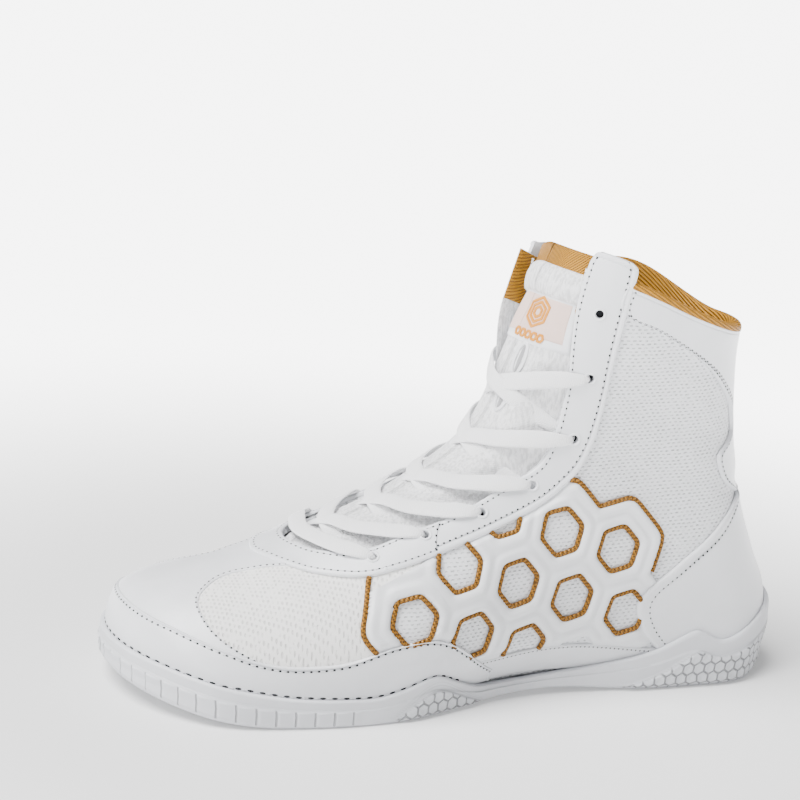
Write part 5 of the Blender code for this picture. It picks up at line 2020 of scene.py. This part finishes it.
@dataclass
class Laces(Fitted):
    """One flat lace, led in and out through the lower six pairs of eyelets."""

    rows: int = 6
    half: float = 3.5 * MM
    thick: float = 0.62 * MM

    def eyelet(self, row: int, side: Side) -> Array:
        """Rise and turn of an eyelet."""
        turn, rise = EYELETS[row]
        return np.array((rise, turn * self.layers.reach(side)))

    def control(self, start: Array, end: Array, table: Sequence) -> list[Array]:
        """Control rows of the lace between two eyelets.

        Args:
            start: Rise and turn of the first eyelet.
            end: Rise and turn of the second.
            table: Share of the way, distance out in millimetres and share of the width.

        Returns:
            Rows of place, side, half width and half thickness.
        """
        way = unit(self.last.on(end) - self.last.on(start))
        rows = []
        for share, out, wide in table:
            place = start + (end - start) * share
            normal = self.last.up(place)
            side = unit(np.cross(way - normal * (way @ normal), normal))
            size = [self.half * wide, self.thick * (2 - wide)]
            rows.append(np.concatenate([self.last.on(place, out * MM), side, size]))
        return rows

    def crossing(self, start: Array, end: Array, over: float) -> list[Array]:
        """Control rows from under one eyelet to down through another.

        Args:
            start: Rise and turn of the eyelet that the lace leaves underneath.
            end: Rise and turn of the eyelet that it goes down through.
            over: Extra height halfway, where two laces cross.

        Returns:
            The rows.
        """
        return self.control(start, end, (
            (0.0, -3.6, 0.45), (0.1, -2.9, 0.7), (0.26, -2.3, 1.0), (0.36, 0.6, 1.0), (0.44, 1.9, 1.0),
            (0.54, 2.2 + over, 1.0), (0.66, 2.0, 1.0), (0.78, 2.3, 1.0), (0.88, 2.7, 0.95),
            (0.945, 2.7, 0.7), (0.98, 1.6, 0.45), (0.988, -0.6, 0.36), (0.988, -2.9, 0.36),
        ))

    def half_route(self, side: Side) -> list[Array]:
        """Control rows from the bar to the last eyelet of one end.

        Args:
            side: Side where it leaves the bar.

        Returns:
            The rows.
        """
        here, rows = side, []
        for row in range(self.rows - 1):
            there = Side(-here.value)
            over = 1.3 if (here is Side.MEDIAL) != (row == self.rows - 2) else 0.0
            rows += self.crossing(self.eyelet(row, here), self.eyelet(row + 1, there), over)
            here = there
        return rows

    def bar(self) -> list[Array]:
        """Control rows of the straight bar between the lowest pair."""
        return self.control(self.eyelet(0, Side.LATERAL), self.eyelet(0, Side.MEDIAL), (
            (0.0, -2.9, 0.42), (0.0, -0.6, 0.42), (0.02, 1.8, 0.5), (0.08, 3.0, 0.8), (0.2, 2.9, 1.0),
            (0.5, 2.6, 1.0), (0.8, 2.9, 1.0), (0.92, 3.0, 0.8), (0.98, 1.8, 0.5), (1.0, -0.6, 0.42),
            (1.0, -2.9, 0.42),
        ))

    def build(self) -> None:
        """Makes the lace."""
        back = [row * np.array([1, 1, 1, -1, -1, -1, 1, 1]) for row in self.half_route(Side.LATERAL)[::-1]]
        rows = np.array(back + self.bar() + self.half_route(Side.MEDIAL))
        rows = spline(rows, 7)
        path, side = rows[:, :3], unit(rows[:, 3:6])
        along = np.gradient(path, axis=0)
        mesh = sweep(path, np.cross(side, along), rows[:, 6], rows[:, 7], 16, 3.2)
        nodes = ["lace_bar"] + ["lace_cross_%d" % k for k in range(1, self.rows)]
        self.rack.piece("lace", mesh, LACE, nodes)
        LOG.info("lace length: %.0f mm", arc_length(path)[-1] / MM)


@dataclass
class Collar(Fitted):
    """Ribbed gold binding over the collar's edge, and the loop at the heel."""

    start: float = 0.33
    inside: float = 0.87

    def binding(self) -> None:
        """Band that covers the edge and lines the shaft's mouth."""
        wall = self.layers.wall
        section = spline((
            (0.988, 1.3 * MM), (0.995, 1.75 * MM), (1.004, 1.65 * MM), (1.011, 0.7 * MM),
            (1.013, -wall - 0.4 * MM), (1.002, -wall - 1.3 * MM), (0.96, -wall - 1.7 * MM),
            (self.inside, -wall - 1.6 * MM), (self.inside - 0.004, -wall - 0.8 * MM),
            (0.95, -wall - 0.4 * MM), (0.986, 0.5 * MM),
        ), 4)
        turns = np.linspace(-self.start, -2 + self.start * self.layers.medial, 420)
        turn, rise = np.meshgrid(turns, section[:, 0], indexing="ij")
        points = self.last.skin(rise, turn, section[None, :, 1])
        ways = (arc_length(points[:, 0]) / MM, arc_length(points[0]) / MM)
        lay = np.stack(np.meshgrid(*ways, indexing="ij"), -1)
        count = len(section)
        faces = grid_faces(len(turns), count, wrap=True)
        faces += [tuple(range(count)), tuple(range((len(turns) - 1) * count, len(turns) * count))[::-1]]
        mesh = Mesh(points.reshape(-1, 3), faces, lay.reshape(-1, 2))
        self.rack.piece("binding", mesh, GOLD_WEBBING, ["collar_binding"])

    def lip(self, name: str, rises: tuple[float, float], layer: tuple[float, float],
            finish: Finish) -> None:
        """One layer of the medial flap's soft edge, which stands up beside the tongue.

        Args:
             name: Its name.
            rises: Lower and upper end.
            layer: Where the layer lies in the edge's thickness, from -0.5 to 0.5.
            finish: Its finish.
        """
        share = np.linspace(0, 1, 24)[None, :]
        rise = np.linspace(*rises, 50)[:, None] + 0 * share
        turn = self.layers.medial * (0.205 - 0.055 * share) + 0 * rise
        out = (-2.2 + 6.4 * share**1.3 * ease((rise - 0.6) / 0.28)) * MM
        thick = 1.5 * MM * np.sqrt(1 - np.clip((share - 0.7) / 0.3, 0, 1) ** 2 * 0.9)
        mesh = self.last.layer(rise, turn, out + thick * layer[0], out + thick * layer[1])
        self.rack.piece(name, mesh, finish)

    def loop(self) -> None:
        """Small folded loop at the back seam."""
        share = np.linspace(-1, 1, 41)
        rows = np.column_stack([0.628 + share * 0.043, np.ones(41)])
        path = self.last.on(rows, (2.2 + 2.0 * np.sqrt(1 - share**2)) * MM)
        mesh = sweep(path, self.last.up(rows), 4.0 * MM, 0.7 * MM, 16, 4.0)
        self.rack.piece("heel_loop", mesh, GOLD_WEBBING, ["heel_tab"])

    def build(self) -> None:
        """Makes the binding, the flap's soft edge and the loop."""
        self.binding()
        self.lip("flap_lining", (0.868, 1.008), (-0.5, 0.0), GOLD_WEBBING)
        self.lip("flap_edge", (0.6, 0.872), (-0.5, 0.0), LINING_KNIT)
        self.lip("flap_face", (0.59, 1.01), (0.0, 0.5), EDGE_LEATHER)
        self.loop()


@dataclass
class CupSole(Fitted):
    """Rubber cup with its rim, pods, toe ribs and tread, and the discs in its floor."""

    wall: float = 2.4 * MM
    thick: float = 1.8 * MM
    columns: int = 384
    across: int = 104
    groove: float = 1.2 * MM
    hexagon: float = 7.6 * MM
    rib_pitch: float = 7.4 * MM
    toe_end: float = 0.295
    pods: tuple[tuple[float, float, float], ...] = ((0.335, 0.49, 0.45), (0.69, 0.935, 0.55))
    inside: float = 4.5 * MM
    fore: tuple[float, float, float] = (0.288, 0.228, 17.0 * MM)
    heel: tuple[float, float, float] = (0.86, 0.03, 14.5 * MM)
    foot_out: float = 0.45

    def ring(self, turns: Array, share: float, out: Array | float) -> Array:
        """Ring round the sole in the shoe's frame.

        Args:
            turns: Turns of its points.
            share: Share of the side's height at which it runs.
            out: Distance out of the cup's inside, in walls.

        Returns:
            The points.
        """
        rise = np.zeros_like(turns)
        for _ in range(4):
            x = self.last.bare(rise, turns)[..., 0]
            z = self.last.floor_line(x) * (1 - share) + self.last.wall_line(x) * share
            rise = np.maximum(self.last.rise_of(x, z), 0)
        normal = self.last.normal(np.maximum(rise, 0.012), turns)
        flat = unit(normal * (1, 1, 0))
        normal = normal * ease(rise / 0.03)[:, None] + flat * (1 - ease(rise / 0.03))[:, None]
        out = self.layers.gap + self.layers.overlay + 0.6 * MM + out * self.wall
        ring = self.last.bare(rise, turns) + unit(normal) * np.broadcast_to(out, turns.shape)[:, None]
        ring[:, 2] = self.last.floor_line(ring[:, 0]) * (1 - share) + self.last.wall_line(ring[:, 0]) * share
        return ring

    def toe(self, x: Array) -> Array:
        """1 in front of the end of the toe's ribs, and 0 behind it."""
        return ease((self.toe_end - x / self.last.length) / 0.02)

    def pod(self, x: Array) -> Array:
        """How far the side stands out at x, in walls.

        Args:
            x: Places along the shoe.

        Returns:
            The distances.
        """
        at = x / self.last.length
        out = np.zeros_like(at)
        for start, end, height in self.pods:
            out = out + height * ease((at - start) / 0.03) * ease((end - at) / 0.03)
        return out

    def lens(self, x: Array) -> tuple[Array, Array]:
        """Share of the height that the front and the back pod reach at x.

        Args:
            x: Places along the shoe.

        Returns:
            Two sets of shares.
        """
        at = x / self.last.length
        front = 0.66 * np.sin(math.pi * np.clip((at - 0.335) / 0.155, 0, 1)) ** 0.8
        back = 0.66 * np.clip((at - 0.69) / 0.135, 0, 1) * ease((0.985 - at) / 0.02)
        return front, back

    def hexes(self, x: Array, y: Array, size: float) -> Array:
        """Distance from the nearest border of a honeycomb.

        Args:
            x: Places along the sole.
            y: Places across it.
            size: Width of a cell.

        Returns:
            The distances.
        """
        tall = math.sqrt(3) * size
        inner = []
        for shift in (0.0, 0.5):
            u = np.abs(np.mod(x / size + shift, 1) - 0.5) * size
            v = np.abs(np.mod(y / tall + shift, 1) - 0.5) * tall
            inner.append(size / 2 - np.maximum(u, u / 2 + v * math.sqrt(3) / 2))
        return np.maximum(*inner)

    @cached_property
    def turns(self) -> Array:
        """Turns at even lengths round both sides."""
        dense = np.linspace(0, 1, 1200)
        along = arc_length(self.ring(-dense, 0.0, self.foot_out))
        side = np.interp(np.linspace(0, along[-1], self.columns + 1), along, dense)
        return np.concatenate([-side[::-1], side[1:-1]])

    def side_out(self, x: Array, share: float, run: Array) -> Array:
        """Distance of the side's face out of the cup.

        Args:
            x: Places along the shoe.
            share: Share of the side's height.
            run: Lengths from the toe.

        Returns:
            The distances, in walls.
        """
        steps = np.array(((0.0, 0.42), (0.05, 0.72), (0.12, 0.98), (0.6, 1.0), (0.645, 0.98), (0.68, 0.78),
                          (0.94, 0.7), (0.985, 0.5), (1.0, 0.22)))
        out = np.interp(share, steps[:, 0], steps[:, 1])
        lens = np.maximum(*self.lens(x))
        out = out + self.pod(x) * ease((share - 0.02) / 0.12) * ease((lens + 0.04 - share) / 0.1)
        toe = self.toe(x) * ease((share - 0.1) / 0.08)
        saw = np.mod(run / self.rib_pitch, 1)
        return out + 0.26 * toe * ease((0.62 - share) / 0.05) * ease(saw / 0.06) * (1 - saw)

    def middle(self, at: tuple[float, float, float]) -> Array:
        """Middle of a disc in the shoe's frame, from above."""
        x = at[0] * self.last.length
        return np.array((x, float(self.last.plan(x, 1)) + at[1] * self.last.ball))

    def tread(self, x: Array, y: Array) -> Array:
        """Depth of the tread.

        Args:
            x: Places along the sole.
            y: Places across it.

        Returns:
            Heights over the ground plane of the sole.
        """
        along = x / self.last.length
        depth, lugs, field = np.zeros(x.shape), self.hexes(x, y, self.hexagon), np.ones(x.shape)
        for row in GROOVES:
            route = spline(row, 8) * (self.last.length, self.last.ball)
            route[:, 1] += self.last.plan(route[:, 0], 1)
            gap = away(x, y, route)
            depth = np.maximum(depth, self.groove * (1 - ease((gap - 0.7 * MM) / (0.5 * MM))))
            field = field * ease((gap - 4.2 * MM) / (0.8 * MM))
        border = 0.7 * MM * (1 - ease((lugs - 0.25 * MM) / (0.5 * MM)))
        dish = 0.55 * MM * (1 - ease((np.abs(lugs - 3.4 * MM) - 0.2 * MM) / (1.6 * MM)))
        pads = ease((0.56 - along) / 0.01) + ease((along - 0.6) / 0.01)
        depth = np.maximum(depth, (border + dish) * field * pads)
        arch = np.maximum(0, 1 - pads) * self.hexes(x, y, 5.0 * MM) / (2.5 * MM)
        depth = np.maximum(depth, 0.5 * MM * ease(arch - 0.35))
        for disc in (self.fore, self.heel):
            radius, way = disc[2], np.stack([x, y], -1) - self.middle(disc)
            gap = np.linalg.norm(way, axis=-1)
            depth = depth * ease((gap - radius - 7.5 * MM) / (0.8 * MM))
            ring = np.exp(-(((gap - radius - 4.4 * MM) / (0.8 * MM)) ** 2))
            broken = np.cos(3 * np.arctan2(way[..., 1], way[..., 0])) > -0.6
            depth = np.maximum(depth, 1.0 * MM * ring * broken)
            depth = np.where(gap < radius + 0.6 * MM, self.thick + 0.6 * MM, depth)
        return depth

    def side(self, turns: Array, run: Array) -> tuple[Array, Array]:
        """Outside and inside of the cup's side.

        Args:
            turns: Turns of a ring's points.
            run: Lengths from the toe to them.

        Returns:
            Rings of points, and the shares of the height of those on the outside.
        """
        shares = np.concatenate([
            np.linspace(0, 0.14, 7), np.linspace(0.16, 0.6, 20), np.linspace(0.615, 0.95, 20),
            (0.965, 0.98, 0.99, 1.0),
        ])
        x = self.ring(turns, 0.0, self.foot_out)[:, 0]
        rings = [self.ring(turns, share, self.side_out(x, share, run)) for share in shares]
        for share, out in ((1.0, 0.0), (0.985, -0.35), (0.9, -0.35), (0.6, -0.2), (0.3, 0.0), (0.0, 0.0)):
            rings.append(self.ring(turns, share, out))
        rings[-1][:, 2] = self.last.floor_line(rings[-1][:, 0]) + self.inside
        return np.stack(rings), shares

    def underside(self, lateral: Array, medial: Array) -> tuple[Array, Array]:
        """Treaded floor between the two sides of the lowest ring.

        Args:
            lateral: Points from the heel to the toe on the lateral side.
            medial: The same on the medial side.

        Returns:
            Grid of points, and the depth of the tread at each.
        """
        share = np.linspace(0, 1, self.across + 1)[None, 1:-1, None]
        under = lateral[:, None] * (1 - share) + medial[:, None] * share
        width = np.linalg.norm(lateral - medial, axis=1)[:, None]
        edge = np.minimum(share[..., 0], 1 - share[..., 0]) * width
        depth = self.tread(under[..., 0], under[..., 1]) * ease((edge - 2.0 * MM) / (1.0 * MM))
        under[..., 2] = self.last.floor_line(under[..., 0]) + depth
        return under, depth

    def marks(self, x: Array, side: Array) -> Array:
        """Pods, toe ribs, and painted shade in the grooves and along the pods' edges, on the cup's side.

        Args:
            x: Places along the shoe.
            side: Shares of the height, one row for each ring.

        Returns:
            Three numbers for each point.
        """
        lenses = self.lens(x)
        pod = sum(ease((side - 0.01) / 0.03) * ease((lens - 0.01 - side) / 0.02) for lens in lenses)
        toe = self.toe(x) * ease((side - 0.08) / 0.04) * ease((0.62 - side) / 0.03)
        # Painted shade: a dark line at the side's ledge, and dark lines along and over the pods' tops.
        groove = 0.45 * np.exp(-(((side - 0.665) / 0.018) ** 2)) * (np.maximum(*lenses) < 0.3)
        for which, rise, dark in ((0, 0.0, 0.8), (1, 0.0, 0.8), (0, 0.13, 0.5), (0, 0.22, 0.35)):
            edge = np.exp(-(((side - lenses[which] - rise) / 0.016) ** 2))
            groove = np.maximum(groove, dark * edge * ease((lenses[which] - 0.03) / 0.1))
        return np.stack([pod, toe, groove], -1).reshape(-1, 3)

    def build(self) -> None:
        """Makes the cup and its discs."""
        turns = self.turns
        count, half = len(turns), len(turns) // 2
        base = self.ring(turns, 0.0, self.foot_out)
        run = arc_length(base)
        run = np.abs(run - run[self.columns])
        grid, shares = self.side(turns, run)
        lay = np.stack([np.broadcast_to(run / MM, grid.shape[:2]), grid[..., 2] / MM], -1)
        size = grid.shape[0] * count
        lateral, medial = (half - np.arange(half + 1)) % count, (half + np.arange(half + 1)) % count
        under, depth = self.underside(grid[0][lateral], grid[0][medial])
        index = size + np.arange(under.shape[0] * under.shape[1]).reshape(under.shape[:2])
        top = size - count
        faces = grid_faces(len(grid), count, wrap=True)
        faces += joined_faces(np.column_stack([lateral, index, medial]))
        faces += joined_faces(np.column_stack([top + medial, top + lateral]))
        points = np.vstack([grid.reshape(-1, 3), under.reshape(-1, 3)])
        lays = np.vstack([lay.reshape(-1, 2), points[size:, :2] / MM])
        marks = np.zeros((len(points), 3))
        outside = self.marks(base[:, 0], shares[:, None] + np.zeros(count))
        marks[:len(outside)] = outside
        # Painted shade in the tread's grooves, darker the deeper they lie.
        marks[size:, 2] = np.clip(depth / MM, 0, 1).ravel()
        mesh = Mesh(points + self.last.shift, faces, lays, marks)
        self.rack.piece("cup_sole", mesh, CUP_RUBBER, ["outsole"], 60.0)
        self.disc("fore_disc", self.fore[2], "forefoot_disc", True)
        self.disc("back_disc", self.heel[2], "heel_disc", False)

    def disc(self, name: str, radius: float, node: str, ringed: bool) -> None:
        """Gold disc with a ribbed face and a white rim.

        Args:
             name: Its name.
            radius: Its radius.
            node: Node that it replaces.
            ringed: Whether raised rings lie over the ribs.
        """
        low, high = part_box(node)
        centre = (np.array(low) + np.array(high)) / 2
        deep = high.z - centre[2]
        angle = circle(140)
        rr, aa = np.meshgrid(np.linspace(0.02, 0.93, 46) * radius, angle, indexing="ij")
        x, y = rr * np.cos(aa), rr * np.sin(aa)
        relief = 0.25 * MM * (0.5 + 0.5 * np.cos(2 * math.pi * (y + 0.6 * x) / (1.5 * MM)))
        if ringed:
            share = rr / radius
            inner = ease((share - 0.36) / 0.03) * ease((0.6 - share) / 0.03)
            inner = inner * (np.abs(np.cos(2 * aa)) > 0.28)
            relief = np.where(inner > 0.5, 0.9 * MM, relief)
            relief = np.where((share > 0.8) & (share < 0.86), 0.8 * MM, relief)
        faces = [np.stack([x, y, z], -1) + centre for z in (np.full(x.shape, deep), relief - deep)]
        self.rack.piece(name, shell(*faces, np.stack([x, y], -1) / MM, wrap=True), GOLD_RUBBER, [node])
        angle = circle(120)
        path = np.stack([np.cos(angle), np.sin(angle), 0 * angle], -1) * radius * 0.965
        path = path + centre + (0, 0, 0.75 * MM - deep)
        ring = sweep(path, np.tile((0.0, 0.0, 1.0), (120, 1)), radius * 0.035, 0.75 * MM, 12, 3.0, True)
        self.rack.piece(name + "_rim", ring, WHITE_RUBBER)


@dataclass
class Footbed(Fitted):
    """Soft insole inside the shoe."""

    def build(self) -> None:
        """Makes the insole."""
        low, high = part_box("insole")
        x = np.linspace(low.x + 0.3 * MM, high.x - 0.3 * MM, 110) - self.last.shift[0]
        z = self.last.feather_line(x) + 0.5 * MM
        inset = self.layers.wall + 1.4 * MM
        sides = [np.maximum(self.last.half_width(x, z, np.full(x.shape, medial)) - inset, 0.2 * MM)
                 for medial in (False, True)]
        share = np.linspace(0, 1, 36)[None, :]
        floor = self.last.feather_line(x)[:, None] + 0 * share
        y = self.last.plan(x, 1)[:, None] - sides[0][:, None] * (1 - share) + sides[1][:, None] * share
        gap = np.minimum(share, 1 - share) * (sides[0] + sides[1])[:, None]
        lift = 1.6 * MM + 1.4 * MM * np.sqrt(1 - (1 - np.clip(gap / (2 * MM), 0, 1)) ** 2)
        top, under = [np.stack([x[:, None] + 0 * share, y, z], -1) for z in (floor + lift, floor)]
        mesh = shell(top + self.last.shift, under + self.last.shift, top[..., :2] / MM)
        self.rack.piece("footbed", mesh, FOOTBED, ["insole"])


@dataclass
class Studio:
    """Pale floor that glows, with painted shade round the shoe, soft lights and the camera of the
    photograph.
    """

    last: Last
    azimuth: float = math.radians(25.3)
    elevation: float = math.radians(13.4)
    roll: float = math.radians(-5.3)
    distance: float = 0.8
    focal_px: float = 2066.0
    picture_px: float = 800.0
    target: tuple[float, float, float] = (0.1096, 0.0, 0.1132)
    # Radii of the painted shade round the shoe: the floor's glow starts at near and is full at far.
    near: float = 0.16
    far: float = 0.62
    half_floor: float = 60.0

    def floor(self) -> None:
        """Large floor that glows white far off, with painted shade fading in round the shoe."""
        tree = Tree("floor_finish")
        x = tree.node("ShaderNodeSeparateXYZ", {}, {0: tree.place()}, "X")
        y = Value(tree, x.socket.node.outputs["Y"])
        # Painted light: the floor glows faintly near the shoe and white from far on, and this glow lights
        # the shoe as well.
        far = (x * x + y * y).math("SQRT").smooth(self.near, self.far)
        tree.put(tree.shader, {
            "Base Color": tree.mix(tree.noise(900.0, 1.0), (0.72, 0.72, 0.72), (0.74, 0.74, 0.74)),
            "Roughness": 0.75,
            "Emission Color": tree.mix(far, (0.06, 0.06, 0.06), (1.0, 1.0, 1.0)),
            "Emission Strength": 5.0,
        })
        corners = np.array(((-1, -1, 0), (1, -1, 0), (1, 1, 0), (-1, 1, 0))) * self.half_floor
        part = new_object("floor", Mesh(corners, [(0, 1, 2, 3)], corners[:, :2]))
        part.data.materials.append(tree.material)

    def light(self, name: str, way: tuple, angle: float, power: float) -> None:
        """Soft even light that comes from a direction, as wide as an angle.

        Args:
            name: Its name.
            way: Where it comes from.
            angle: How wide it is, in degrees.
            power: Its strength.
        """
        data = bpy.data.lights.new(name, "SUN")
        data.angle = math.radians(angle)
        data.energy = power
        part = bpy.data.objects.new(name, data)
        part.location = way
        part.rotation_euler = Vector(way).to_track_quat("Z", "Y").to_euler()
        bpy.context.collection.objects.link(part)

    def world(self) -> None:
        """Even pale light from all round."""
        world = bpy.data.worlds.new("studio")
        world.use_nodes = True
        sky = world.node_tree.nodes["Background"]
        sky.inputs["Color"].default_value = (1, 1, 1, 1)
        sky.inputs["Strength"].default_value = 0.12
        bpy.context.scene.world = world

    def camera(self) -> None:
        """Camera of the photograph."""
        a, e, r = self.azimuth, self.elevation, self.roll
        back = np.array((-math.sin(a) * math.cos(e), -math.cos(a) * math.cos(e), math.sin(e)))
        right = np.array((math.cos(a), -math.sin(a), 0.0))
        up = np.cross(back, right)
        spot = np.array(self.target) + back * self.distance + self.last.shift
        x = right * math.cos(r) - up * math.sin(r)
        y = right * math.sin(r) + up * math.cos(r)
        data = bpy.data.cameras.new("camera")
        data.sensor_width = 36.0
        data.lens = self.focal_px / self.picture_px * 36.0
        part = bpy.data.objects.new("camera", data)
        turn = Matrix((x, y, back)).transposed().to_4x4()
        part.matrix_world = Matrix.Translation(Vector(spot)) @ turn
        bpy.context.collection.objects.link(part)
        bpy.context.scene.camera = part

    def build(self) -> None:
        """Sets the stage."""
        self.floor()
        self.light("top", (-0.5, -0.05, 1.0), 38.0, 8.3)
        self.light("key", (-1.0, -0.35, 0.6), 16.0, 1.3)
        self.world()
        self.camera()


def main() -> None:
    """Builds the shoe, the floor, the lights and the camera."""
    logging.basicConfig(level=logging.INFO, format="%(message)s")
    rack, last, layers = Rack(), Last(), Layers()
    fitted = (rack, last, layers)
    seams, cage = Seams(last), Cage(*fitted)
    upper = Upper(*fitted, cage)
    for part in (upper, Overlays(*fitted, seams, upper), cage, Tongue(*fitted, upper), Laces(*fitted),
                 Collar(*fitted), CupSole(*fitted), Footbed(*fitted)):
        part.build()
    seams.build(rack)
    Studio(last).build()


if __name__ == "__main__":
    main()
